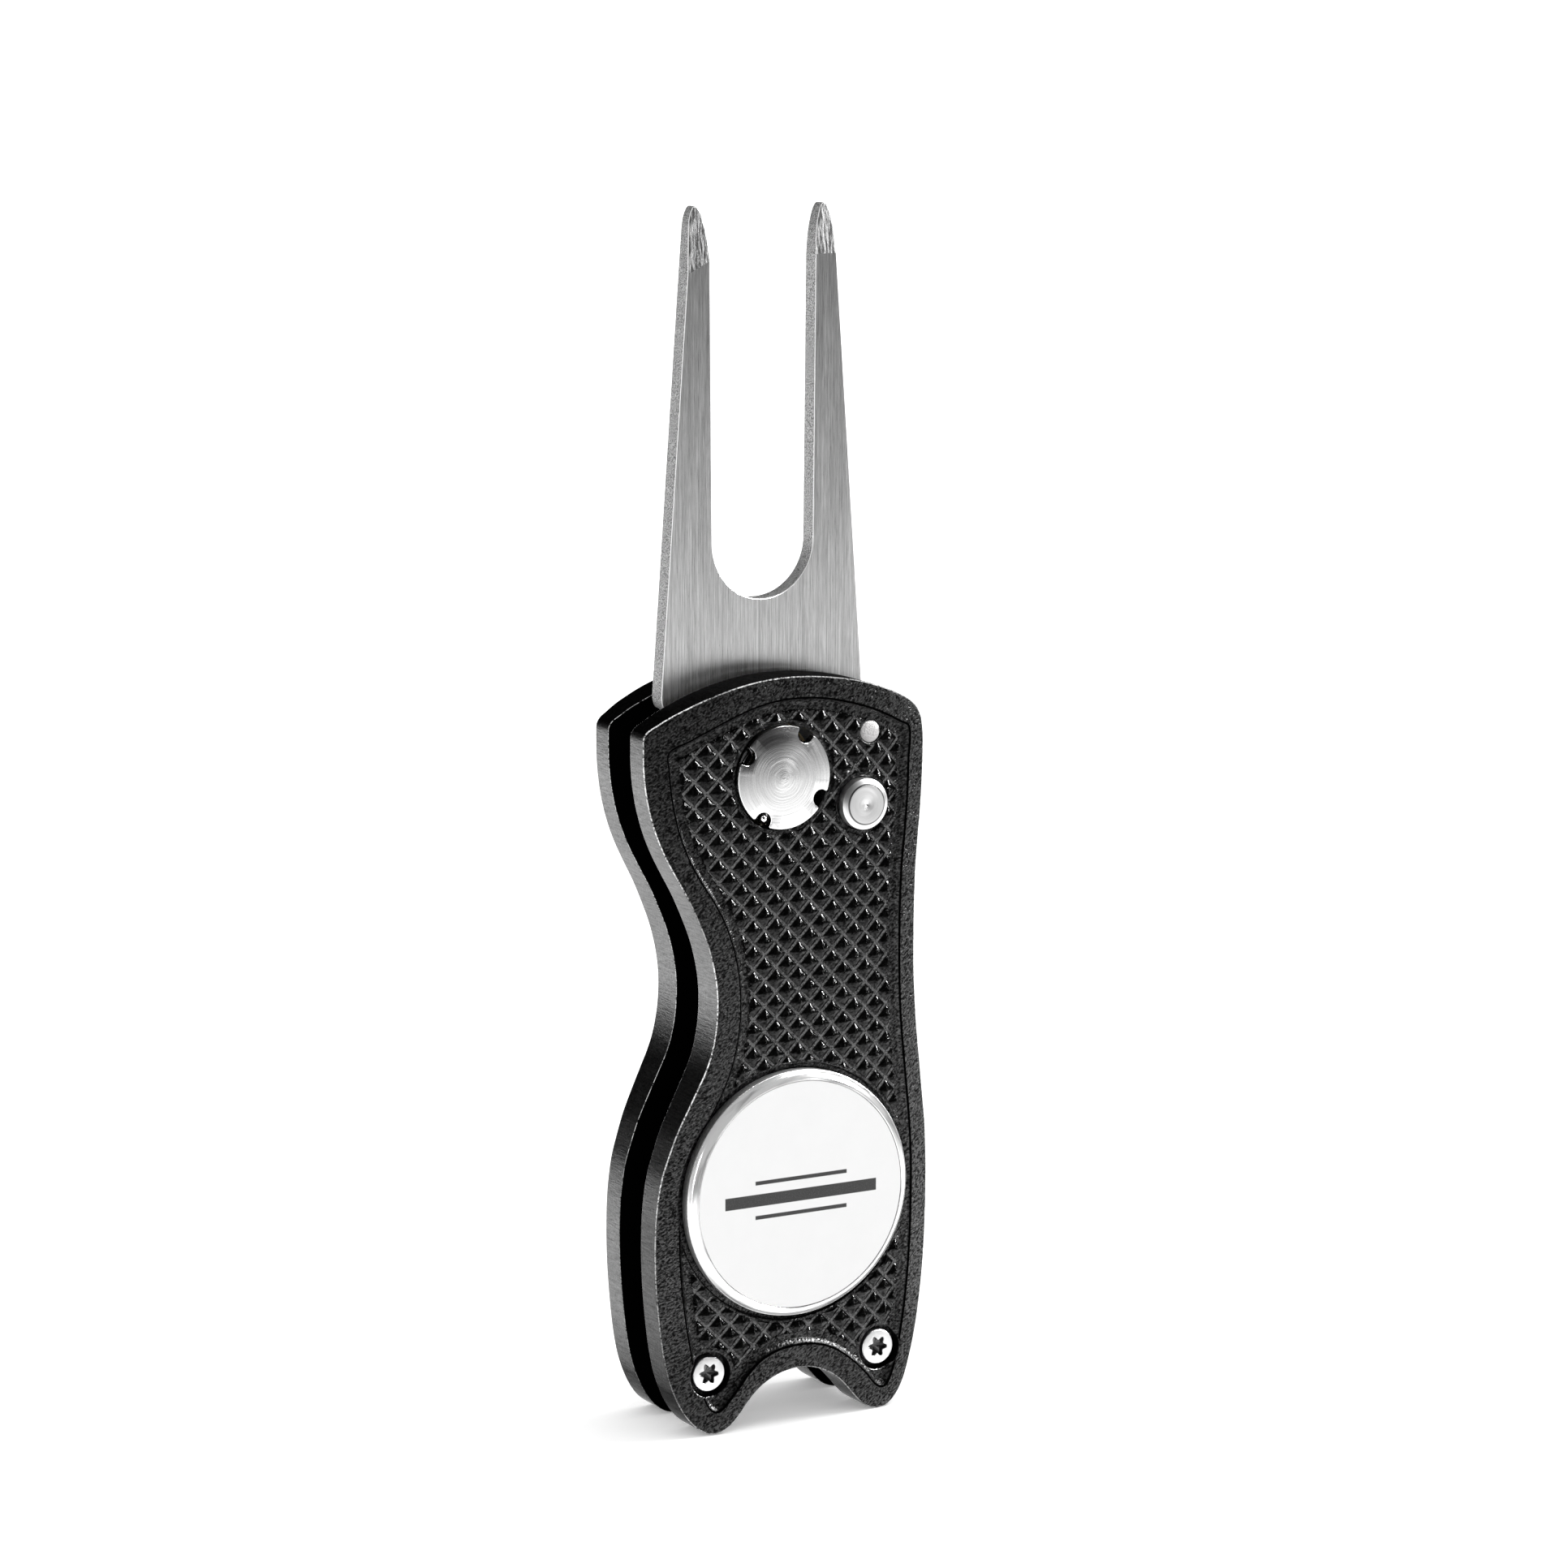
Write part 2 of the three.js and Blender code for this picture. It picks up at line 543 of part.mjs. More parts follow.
addPart(tool, 'marker_magnet', markerMagnet(), FINISH.magnet);
for (const [name, centre] of Object.entries(SCREWS)) {
  addPart(tool, `screw_front_${name}`, screw(centre, FRONT), FINISH.steel);
  addPart(tool, `screw_back_${name}`, screw(centre, BACK), FINISH.steel);
  addPart(tool, `standoff_${name}`, standoff(centre), FINISH.steel);
}

export default group;
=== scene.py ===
"""A folding fork between two checkered black scales, with a lock button and a ball marker.

All sizes are in millimetres from the fork pivot: X runs across, Y through the thickness with
the front at -Y, and Z up along the open fork. Meshes are written in metres in the CAD frame.
"""

import bpy
import bmesh
import json
import math
import numpy as np
from mathutils import Matrix, Vector
from mathutils.geometry import delaunay_2d_cdt

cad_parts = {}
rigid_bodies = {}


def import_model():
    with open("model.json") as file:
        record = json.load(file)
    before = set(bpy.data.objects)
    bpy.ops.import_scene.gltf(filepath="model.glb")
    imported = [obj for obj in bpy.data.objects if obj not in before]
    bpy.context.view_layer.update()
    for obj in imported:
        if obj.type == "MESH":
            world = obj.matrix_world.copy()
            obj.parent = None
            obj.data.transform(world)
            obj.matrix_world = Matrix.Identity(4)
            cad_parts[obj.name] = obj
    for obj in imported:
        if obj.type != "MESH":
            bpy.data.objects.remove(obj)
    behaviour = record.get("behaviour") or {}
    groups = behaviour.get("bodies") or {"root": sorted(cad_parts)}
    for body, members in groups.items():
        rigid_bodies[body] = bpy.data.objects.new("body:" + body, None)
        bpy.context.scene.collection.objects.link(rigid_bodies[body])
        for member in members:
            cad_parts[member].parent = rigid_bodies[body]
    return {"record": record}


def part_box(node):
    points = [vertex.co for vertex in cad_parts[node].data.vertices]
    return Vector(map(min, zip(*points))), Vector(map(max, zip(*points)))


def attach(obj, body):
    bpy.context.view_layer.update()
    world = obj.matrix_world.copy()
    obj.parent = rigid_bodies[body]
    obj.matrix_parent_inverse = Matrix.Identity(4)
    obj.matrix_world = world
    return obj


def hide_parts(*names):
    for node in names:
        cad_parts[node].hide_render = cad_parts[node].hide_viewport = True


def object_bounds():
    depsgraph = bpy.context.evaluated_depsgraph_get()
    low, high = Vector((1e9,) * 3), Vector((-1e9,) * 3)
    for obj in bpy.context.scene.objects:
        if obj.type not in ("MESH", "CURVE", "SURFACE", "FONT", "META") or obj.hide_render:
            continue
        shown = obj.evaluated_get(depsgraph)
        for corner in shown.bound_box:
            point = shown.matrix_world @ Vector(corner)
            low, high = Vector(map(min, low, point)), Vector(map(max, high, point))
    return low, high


for old in list(bpy.data.objects):
    bpy.data.objects.remove(old)
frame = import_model()
CAD_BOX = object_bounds()
MM = 0.001
FRONT, BACK = -1, 1         # the way a face looks along Y
PIVOT = next(np.array(joint["pos_m"]) * 1000
             for joint in frame["record"]["behaviour"]["joints"] if joint["name"] == "fork_pivot")


# ---------------------------------------------------------------- places read from the frame
class Box:
    """the box of a CAD piece, in mm from the pivot"""

    def __init__(self, piece):
        self.low, self.high = (np.array(corner) * 1000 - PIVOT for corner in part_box(piece))
        self.front, self.back = self.low[1], self.high[1]
        middle = (self.low + self.high) / 2
        self.axis = (float(middle[0]), float(middle[2]))
        self.radius = (self.high[0] - self.low[0]) / 2


SCALE = Box("front_scale")
FORK = Box("fork")
CAP = Box("pivot_cap")
BUTTON = Box("lock_button")
PIN = Box("stop_pin")
DOWEL = Box("spine_dowel")
MARKER = Box("marker_body")
INLAY = Box("marker_inlay")
MAGNET = Box("marker_magnet")
SCREWS = {side: Box("screw_front_" + side) for side in ("left", "right")}
BORE = (0.0, 0.0)                        # the pivot's axis

SCALE_INNER = -SCALE.back                # inner face of a scale, from the middle plane
SCALE_OUTER = Box("back_scale").back     # outer face on the flat land
CROWN_X, CROWN_FLAT, CROWN_CURVE = 1.6, 6.0, 0.0124   # middle, half flat width, drop per mm^2
PANEL_DEPTH = 0.55
SEAT_RADIUS = MARKER.radius + 0.6        # pocket for the marker
SEAT_FLOOR = MAGNET.front
CAP_HOLE = 5.3                           # hole radii in the scales
BOLT_HOLE = 3.7

# edge of a scale, (x, z), before it is moved onto the CAD scale
OUTLINE = np.array([
    (-14.9, 5.0), (-14.98, 3.4), (-14.96, 1.9), (-14.82, 0.1), (-14.43, -2.24), (-13.75, -4.68),
    (-12.8, -7.0), (-11.65, -9.2), (-10.5, -11.3), (-9.4, -13.7), (-8.5, -16.0), (-7.86, -18.4),
    (-7.54, -20.6), (-7.5, -22.4), (-7.66, -24.5), (-8.15, -26.85), (-8.75, -28.5), (-9.54, -30.1),
    (-10.7, -32.4), (-11.8, -34.7), (-12.65, -37.0), (-13.2, -38.7), (-13.55, -40.4),
    (-13.85, -42.9), (-13.96, -46.2), (-13.9, -49.4), (-13.65, -52.8), (-13.2, -56.6),
    (-12.65, -59.3), (-12.0, -61.2), (-11.1, -63.0), (-10.0, -64.4), (-8.8, -65.25), (-7.8, -65.5),
    (-6.9, -65.3), (-6.0, -64.8), (-5.0, -63.8), (-4.0, -62.6), (-3.1, -61.7), (-2.0, -60.95),
    (-0.7, -60.35), (0.6, -60.05), (2.0, -59.97), (3.6, -60.25), (5.1, -60.9), (6.3, -61.75),
    (7.3, -62.8), (8.3, -64.0), (9.3, -64.95), (10.3, -65.45), (11.3, -65.6), (12.3, -65.35),
    (13.3, -64.5), (14.15, -63.2), (14.95, -61.0), (15.65, -58.4), (16.25, -55.1), (16.75, -50.9),
    (17.0, -46.7), (17.08, -42.5), (17.04, -40.0), (16.85, -36.6), (16.42, -33.1), (16.05, -29.8),
    (15.71, -27.0), (15.45, -24.0), (15.27, -20.6), (15.24, -17.0), (15.3, -13.2), (15.45, -9.8),
    (15.68, -7.4), (16.0, -4.2), (16.2, -0.8), (16.28, 1.6), (16.22, 3.4), (15.95, 4.8),
    (15.35, 5.85), (14.37, 6.65), (12.33, 7.68), (10.33, 8.45), (8.37, 9.03), (6.45, 9.42),
    (4.57, 9.7), (2.71, 9.88), (0.9, 9.95), (-0.9, 9.92), (-2.67, 9.77), (-4.41, 9.5),
    (-6.13, 9.12), (-7.83, 8.63), (-9.5, 8.05), (-11.16, 7.35), (-12.6, 6.68), (-13.75, 6.0),
    (-14.5, 5.55)])
# edge of the recessed panel in a scale, (x, z), in the same place
PANEL = np.array([
    (-12.4, 3.3), (-12.38, 1.6), (-12.0, -1.8), (-11.3, -4.8), (-10.3, -7.4), (-9.1, -9.6),
    (-7.7, -11.8), (-6.6, -13.9), (-5.75, -16.2), (-5.15, -18.8), (-4.92, -21.2), (-4.95, -23.6),
    (-5.25, -25.9), (-5.85, -28.3), (-6.75, -30.5), (-7.95, -32.7), (-9.3, -34.8), (-10.3, -37.0),
    (-11.0, -39.6), (-11.35, -42.6), (-11.4, -46.2), (-11.24, -49.5), (-10.9, -52.8),
    (-10.35, -56.3), (-9.75, -59.3), (-8.95, -61.5), (-8.2, -62.9), (-7.6, -63.25), (-6.9, -63.0),
    (-6.2, -62.3), (-5.2, -61.2), (-4.1, -59.9), (-2.56, -58.6), (-0.75, -57.85), (1.1, -57.6),
    (2.97, -57.65), (4.7, -58.05), (6.4, -58.9), (8.1, -60.2), (9.6, -61.7), (10.6, -62.9),
    (11.3, -63.4), (12.0, -63.3), (12.6, -62.4), (13.2, -60.6), (13.9, -57.4), (14.5, -53.4),
    (14.9, -48.6), (15.05, -43.6), (15.0, -39.6), (14.7, -35.6), (14.3, -32.0), (13.8, -27.6),
    (13.5, -24.2), (13.38, -20.6), (13.35, -16.8), (13.42, -12.8), (13.62, -9.4), (13.95, -6.4),
    (14.22, -3.0), (14.35, 0.4), (14.4, 3.9), (13.36, 4.5), (10.35, 5.92), (7.42, 6.88),
    (4.58, 7.5), (1.8, 7.74), (-0.9, 7.63), (-3.54, 7.09), (-6.13, 6.2), (-7.83, 5.47),
    (-10.34, 4.35)])
SHIFT = SCALE.low[[0, 2]] - OUTLINE.min(0)

# checkering: pyramids between two families of diagonal grooves
CHECK_DIAGONAL = 2.55                               # corner to corner of a pyramid
CHECK_SPACING = CHECK_DIAGONAL / math.sqrt(2)       # groove to groove
CHECK_ORIGIN = np.array([0.57, -7.39]) + SHIFT      # one groove crossing
CHECK_HEIGHT, CHECK_GROOVE = 0.50, 0.10             # pyramid height, half width of a groove
CHECK_INSET = 1.22                                  # from the panel's edge


# ---------------------------------------------------------------- loops in the X,Z plane
def spline(knots, step):
    """closed centripetal spline through the knots, resampled to even steps"""
    count = len(knots)
    points = []
    for i in range(count):
        before, start, end, after = (knots[(i + k) % count] for k in (-1, 0, 1, 2))
        span_in, span, span_out = (max(np.linalg.norm(q - p), 1e-6) ** 0.5
                                   for p, q in ((before, start), (start, end), (end, after)))
        leave = (end - start) + span * (
            (start - before) / span_in - (end - before) / (span_in + span))
        arrive = (end - start) + span * (
            (after - end) / span_out - (after - start) / (span + span_out))
        for t in np.linspace(0, 1, 12, endpoint=False):
            points.append((2 * t**3 - 3 * t**2 + 1) * start + (t**3 - 2 * t**2 + t) * leave
                          + (-2 * t**3 + 3 * t**2) * end + (t**3 - t**2) * arrive)
    return resample(np.array(points), step)


def resample(loop, step):
    closed = np.vstack([loop, loop[:1]])
    lengths = np.linalg.norm(np.diff(closed, axis=0), axis=1)
    along = np.concatenate([[0], np.cumsum(lengths)])
    count = max(8, int(round(along[-1] / step)))
    stops = np.linspace(0, along[-1], count, endpoint=False)
    return np.stack([np.interp(stops, along, closed[:, k]) for k in (0, 1)], 1)


def relax(loop, sigma, step):
    """rounds the corners of a closed loop with even steps to about sigma"""
    for _ in range(int(math.ceil((sigma / step) ** 2 * 2))):
        loop = 0.5 * loop + 0.25 * (np.roll(loop, 1, 0) + np.roll(loop, -1, 0))
    return loop


def signed_area(loop):
    x, y = loop[:, 0], loop[:, 1]
    return 0.5 * np.sum(x * np.roll(y, -1) - np.roll(x, -1) * y)


def counterclockwise(loop):
    return loop if signed_area(loop) > 0 else loop[::-1].copy()


def normals(loop):
    """unit normals to the left of travel (inward on a counter-clockwise loop)"""
    along = np.roll(loop, -1, 0) - np.roll(loop, 1, 0)
    along /= np.maximum(np.linalg.norm(along, axis=1, keepdims=True), 1e-9)
    return np.stack([-along[:, 1], along[:, 0]], 1)


def loop_distance(points, loop):
    """unsigned distance of points to a closed loop"""
    sides = np.roll(loop, -1, 0) - loop
    squared = np.maximum((sides**2).sum(1), 1e-12)
    nearest = np.empty(len(points))
    batch = 4000
    for i in range(0, len(points), batch):
        offsets = points[i:i + batch, None, :] - loop[None]
        t = np.clip((offsets * sides).sum(2) / squared, 0, 1)
        gaps = offsets - t[..., None] * sides
        nearest[i:i + batch] = np.sqrt((gaps**2).sum(2)).min(1)
    return nearest


def inside(points, loop):
    """which points lie in the loop, by counting crossings"""
    start, end = loop, np.roll(loop, -1, 0)
    sloped = start[:, 1] != end[:, 1]
    start, end = start[sloped], end[sloped]
    low, high = np.minimum(start[:, 1], end[:, 1]), np.maximum(start[:, 1], end[:, 1])
    slope = (end[:, 0] - start[:, 0]) / (end[:, 1] - start[:, 1])
    result = np.zeros(len(points), bool)
    batch = 3000
    for i in range(0, len(points), batch):
        x, y = points[i:i + batch, 0][:, None], points[i:i + batch, 1][:, None]
        crossed = ((low[None] <= y) & (y < high[None])
                   & (x < slope[None] * (y - start[None, :, 1]) + start[None, :, 0]))
        result[i:i + batch] = (crossed.sum(1) % 2) == 1
    return result


def offset(loop, distance):
    """loop moved inward; points that end up nearer than the distance are dropped"""
    moved = loop + normals(loop) * distance
    return moved[loop_distance(moved, loop) > abs(distance) - 0.012]


def circle(center, radius, count):
    angles = np.linspace(0, 2 * math.pi, count, endpoint=False)
    return np.stack([center[0] + radius * np.cos(angles), center[1] + radius * np.sin(angles)], 1)


def clip_lines(lines, loop, circles, allowed):
    """the pieces of straight lines that are allowed; this changes only at loop or circles"""
    sides = np.roll(loop, -1, 0) - loop
    pieces, middles = [], []
    for start, end in lines:
        along = end - start
        cross = along[0] * sides[:, 1] - along[1] * sides[:, 0]
        gap = loop - start
        with np.errstate(all="ignore"):
            t = (gap[:, 0] * sides[:, 1] - gap[:, 1] * sides[:, 0]) / cross
            u = (gap[:, 0] * along[1] - gap[:, 1] * along[0]) / cross
        hit = (np.abs(cross) > 1e-12) & (u >= 0) & (u < 1) & (t > 0) & (t < 1)
        cuts = list(t[hit])
        squared = along.dot(along)
        for center, radius in circles:
            gap = start - np.array(center)
            half_b = gap.dot(along) / squared
            root = half_b * half_b - (gap.dot(gap) - radius * radius) / squared
            if root > 0:
                both = (-half_b - math.sqrt(root), -half_b + math.sqrt(root))
                cuts += [t for t in both if 0 < t < 1]
        cuts = sorted([0.0, 1.0] + cuts)
        for t, u in zip(cuts[:-1], cuts[1:]):
            if u - t > 1e-9:
                pieces.append((start + t * along, start + u * along))
                middles.append(start + (t + u) / 2 * along)
    return [piece for piece, kept in zip(pieces, allowed(np.array(middles)))
            if kept and np.linalg.norm(piece[1] - piece[0]) > 0.01]


# ---------------------------------------------------------------- meshes
def make(name, verts, faces, smooth, slot, material, body="handle", replaces=None, values=None):
    """an object from mm vertices; values holds {attribute name: value per vertex}"""
    mesh = bpy.data.meshes.new(name)
    mesh.from_pydata([tuple(v) for v in (np.asarray(verts) + PIVOT) * MM], [], faces)
    edit = bmesh.new()
    edit.from_mesh(mesh)
    for key, numbers in (values or {}).items():
        layer = edit.verts.layers.float.new(key)
        for vert, number in zip(edit.verts, numbers):
            vert[layer] = float(number)
    bmesh.ops.remove_doubles(edit, verts=edit.verts, dist=2e-7)
    bmesh.ops.dissolve_degenerate(edit, edges=edit.edges, dist=1e-8)
    bmesh.ops.recalc_face_normals(edit, faces=edit.faces)
    edit.to_mesh(mesh)
    edit.free()
    mesh.shade_smooth()
    mesh.set_sharp_from_angle(angle=math.radians(smooth))
    obj = link_object(name, mesh)
    weighted = obj.modifiers.new("flat_normals", "WEIGHTED_NORMAL")
    weighted.mode = "FACE_AREA"
    weighted.weight = 50
    weighted.keep_sharp = True
    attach(obj, body)
    if replaces:
        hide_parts(replaces)
    mesh.materials.append(material)
    return obj


def link_object(name, data):
    obj = bpy.data.objects.new(name, data)
    bpy.context.scene.collection.objects.link(obj)
    return obj


def band(ring, other):
    """faces between two closed rings; a ring of one vertex makes a fan"""
    count = max(len(ring), len(other))
    faces = []
    for i in range(count):
        j = (i + 1) % count
        if len(ring) == 1:
            faces.append([ring[0], other[i], other[j]])
        elif len(other) == 1:
            faces.append([ring[i], ring[j], other[0]])
        else:
            faces.append([ring[i], ring[j], other[j], other[i]])
    return faces


def triangulate(points, edges, tolerance, need_ids=False):
    result = delaunay_2d_cdt([Vector(p) for p in points], edges, [], 0, tolerance, need_ids)
    return np.array([[v.x, v.y] for v in result[0]]), [list(f) for f in result[2]], result[3]


def line_edges(start, count, closed=True):
    return [(start + i, start + (i + 1) % count) for i in range(count if closed else count - 1)]


def boundary_loops(triangles):
    sides = {}                          # a dict keeps the order of the sides
    for a, b, c in triangles:
        sides.update({(a, b): True, (b, c): True, (c, a): True})
    following = {a: b for a, b in sides if (b, a) not in sides}
    loops = []
    while following:
        first = next(iter(following))
        loop = [first]
        vertex = following.pop(first)
        while vertex != first and vertex in following:
            loop.append(vertex)
            vertex = following.pop(vertex)
        loops.append(loop)
    return loops


def hole(center, rim, lip, steps, through=True, socket=False):
    """A hole that starts at the loop rim. lip rows are (size, drop below the face), steps rows
    (size, y). A size is a radius, or in a socket a share of the rim's size."""
    return dict(center=np.asarray(center), rim=rim, lip=lip, steps=steps, through=through,
                socket=socket)


def round_hole(center, radius, count, chamfer, steps, through=True):
    """chamfer is (width, drop)"""
    width, drop = chamfer
    return hole(center, circle(center, radius + width, count), [(radius, drop)], steps, through)


class Shell:
    """faces of a plate, with the values its shader reads at each vertex"""

    def __init__(self, points, heights, faces, gloss):
        self.verts = [[x, y, z] for (x, z), y in zip(points, heights)]
        self.faces = [list(face) for face in faces]
        plain = [0.0] * len(points)
        self.values = {"gloss": list(gloss(points)) if gloss else plain,
                       "edge": list(plain), "socket": list(plain)}

    def extend(self, ring, points, heights, edge=0.0, socket=0.0):
        """adds a ring of vertices, joins it to the last one and returns it"""
        start, count = len(self.verts), len(points)
        heights = np.broadcast_to(heights, (count,))
        self.verts += [[x, y, z] for (x, z), y in zip(points, heights)]
        for key, value in (("gloss", 0.0), ("edge", edge), ("socket", socket)):
            self.values[key] = self.values[key] + [value] * count
        added = list(range(start, start + count))
        self.faces += band(ring, added)
        return added

    def flat(self, ring):
        return np.array([[self.verts[i][0], self.verts[i][2]] for i in ring])


def shaped_face(rim, holes, creases, points):
    """triangles inside rim and outside the holes, with edges along every crease"""
    lines = [(rim, True)] + [(cut["rim"], True) for cut in holes] + list(creases)
    corners, edges = [], []
    for line, closed in lines:
        edges += line_edges(len(corners), len(line), closed)
        corners += line.tolist()
    corners += list(points)
    flat, faces, _ = triangulate(corners, edges, 1e-5)
    middles = np.array([flat[face].mean(0) for face in faces])
    keep = inside(middles, rim)
    for cut in holes:
        keep &= ~inside(middles, cut["rim"])
    faces = [face if signed_area(flat[face]) > 0 else face[::-1]
             for face, kept in zip(faces, keep) if kept]
    used = sorted({i for face in faces for i in face})
    renumber = {i: k for k, i in enumerate(used)}
    return flat[used], [[renumber[i] for i in face] for face in faces]


def cut_hole(shell, ring, rim_heights, cut, facing):
    """walls of a hole; returns its last ring"""
    center = cut["center"]
    spokes = shell.flat(ring) - center
    if not cut["socket"]:
        spokes = spokes / np.linalg.norm(spokes, axis=1, keepdims=True)
    lip = [(size, rim_heights - facing * drop) for size, drop in cut["lip"]]
    for k, (size, heights) in enumerate(lip + cut["steps"]):
        # deep in a socket; the shaders paint shade there
        deep = float(cut["socket"] and k >= 1)
        ring = shell.extend(ring, center + spokes * size, heights, socket=deep)
    if not cut["through"]:
        floor_y = float(np.mean([shell.verts[i][1] for i in ring]))
        shell.extend(ring, np.array([center]), floor_y, socket=float(cut["socket"]))
    return ring


def close_back(shell, outer, open_rings):
    """plain back face between the outer ring and the holes"""
    corners, edges = [], []
    for ring in [outer] + open_rings:
        edges += line_edges(len(corners), len(ring))
        corners += ring
    flat, faces, origins = triangulate(shell.flat(corners), edges, 1e-6, need_ids=True)
    origins = [found[0] if found else None for found in origins]
    middles = np.array([flat[face].mean(0) for face in faces])
    keep = inside(middles, shell.flat(outer))
    for ring in open_rings:
        keep &= ~inside(middles, shell.flat(ring))
    for face, kept in zip(faces, keep):
        if kept and all(origins[i] is not None for i in face):
            shell.faces.append([corners[origins[i]] for i in face])


def plate(name, outline, face, back, rounds, holes=(), creases=(), points=(), facing=FRONT,
          gloss=None, soften=0.0, segments=3, smooth=30, **part):
    """A flat part in X,Z. face(points) gives the y of the shaped side, back the plain one.
    rounds are the edge radii of the shaped and the plain side, creases (line, closed) pairs."""
    face_round, back_round = rounds
    outline = counterclockwise(outline)
    step = float(np.mean(np.linalg.norm(np.roll(outline, -1, 0) - outline, axis=1)))
    rim = relax(resample(offset(outline, face_round), step), soften, step)
    flat, faces = shaped_face(rim, holes, creases, points)
    shell = Shell(flat, face(flat), faces, gloss)
    loops = sorted(boundary_loops(faces), key=lambda loop: -abs(signed_area(flat[loop])))
    ring = loops[0]
    outer = flat[ring]
    outward = -normals(outer)
    heights = face(outer)
    turns = [(0.5 * math.pi * k / segments, float(k < segments)) for k in range(1, segments + 1)]
    for angle, edge in turns:
        ring = shell.extend(ring, outer + outward * face_round * math.sin(angle),
                            heights - facing * face_round * (1 - math.cos(angle)), edge)
    wall = outer + outward * face_round
    ring = shell.extend(ring, wall, back + facing * back_round)
    for angle, edge in turns:
        ring = shell.extend(ring, wall - outward * back_round * (1 - math.cos(angle)),
                            back + facing * back_round * (1 - math.sin(angle)), edge)
    open_rings = []
    for loop in loops[1:]:
        edge_points = flat[loop]
        if abs(signed_area(edge_points)) < 0.01:    # a sliver the triangulation left out
            shell.faces.append(loop)
            continue
        middle = edge_points.mean(0)
        cut = min(holes, key=lambda cut: np.linalg.norm(cut["center"] - middle))
        last = cut_hole(shell, loop, face(edge_points), cut, facing)
        if cut["through"]:
            open_rings.append(last)
    close_back(shell, ring, open_rings)
    return make(name, shell.verts, shell.faces, smooth, values=shell.values, **part)


def lathe(name, axis, profile, count, smooth=28, **part):
    """part turned about the Y line through axis (x, z); profile rows are (radius, y), and it
    is closed if it ends where it starts"""
    closed = profile[0] == profile[-1]
    angles = np.linspace(0, 2 * math.pi, count, endpoint=False)
    verts, rings = [], []
    for radius, y in profile[:-1] if closed else profile:
        around = angles if radius > 1e-9 else angles[:1]
        rings.append(list(range(len(verts), len(verts) + len(around))))
        verts += [[axis[0] + radius * math.cos(a), y, axis[1] + radius * math.sin(a)]
                  for a in around]
    faces = []
    for ring, other in zip(rings, rings[1:] + (rings[:1] if closed else [])):
        faces += band(ring, other)
    make(name, verts, faces, smooth, **part)


def turned_bar(bore, radius, front, back, chamfer):
    """profile of a rod, or of a tube where bore is not 0, with chamfered ends"""
    profile = [(bore, front), (radius - chamfer, front), (radius, front + chamfer),
               (radius, back - chamfer), (radius - chamfer, back), (bore, back)]
    return profile + profile[:1] if bore else profile


def shank(radius, start, end, chamfer=0.15):
    """profile of a screw shank from its head to its chamfered end"""
    toward_head = math.copysign(chamfer, start - end)
    return [(0, start), (radius, start), (radius, end + toward_head), (radius - chamfer, end),
            (0, end)]


def tube(name, path, radius, sides, **part):
    """round wire along a path with rounded ends"""
    path = np.array(path, float)
    heading = np.gradient(path, axis=0)
    heading /= np.linalg.norm(heading, axis=1, keepdims=True)
    across = np.array([0.0, 1.0, 0.0] if abs(heading[0][1]) < 0.9 else [1.0, 0.0, 0.0])
    stations = []                       # center, heading, across, radius
    for center, along in zip(path, heading):
        across = across - along * across.dot(along)
        across /= np.linalg.norm(across)
        stations.append((center, along, across, radius))

    def end_cap(station, sign, angles):
        center, along, across, _ = station
        return [(center + sign * along * radius * math.sin(t), along, across,
                 radius * math.cos(t)) for t in angles]

    stations = (end_cap(stations[0], -1, (1.2, 0.8, 0.4)) + stations
                + end_cap(stations[-1], 1, (0.4, 0.8, 1.2)))
    verts, rings = [], []
    for center, along, across, reach in stations:
        other = np.cross(along, across)
        rings.append(list(range(len(verts), len(verts) + sides)))
        for k in range(sides):
            angle = 2 * math.pi * k / sides
            verts.append(center + reach * (across * math.cos(angle) + other * math.sin(angle)))
    faces = []
    for ring, following in zip(rings[:-1], rings[1:]):
        faces += band(ring, following)
    faces += [rings[0][::-1], rings[-1]]
    make(name, verts, faces, smooth=40, **part)


# ---------------------------------------------------------------- shader graphs
def binary(operation, swapped=False):
    def method(self, other):
        pair = (other, self) if swapped else (self, other)
        return self.graph.math(operation, *pair)
    return method


class Wire:
    """a node output; arithmetic on it adds Math nodes"""

    def __init__(self, graph, socket):
        self.graph = graph
        self.socket = socket

    __add__, __radd__ = binary("ADD"), binary("ADD", swapped=True)
    __sub__, __rsub__ = binary("SUBTRACT"), binary("SUBTRACT", swapped=True)
    __mul__, __rmul__ = binary("MULTIPLY"), binary("MULTIPLY", swapped=True)
    __truediv__ = binary("DIVIDE")
    __pow__ = binary("POWER")

    def __abs__(self):
        return self.graph.math("ABSOLUTE", self)

    def remap(self, over=(0.0, 1.0), to=(0.0, 1.0), smooth=False):
        """carries the range over onto the range to, and clamps"""
        return self.graph.add("ShaderNodeMapRange", enumerate((self, *over, *to)),
                              interpolation_type="SMOOTHSTEP" if smooth else "LINEAR")


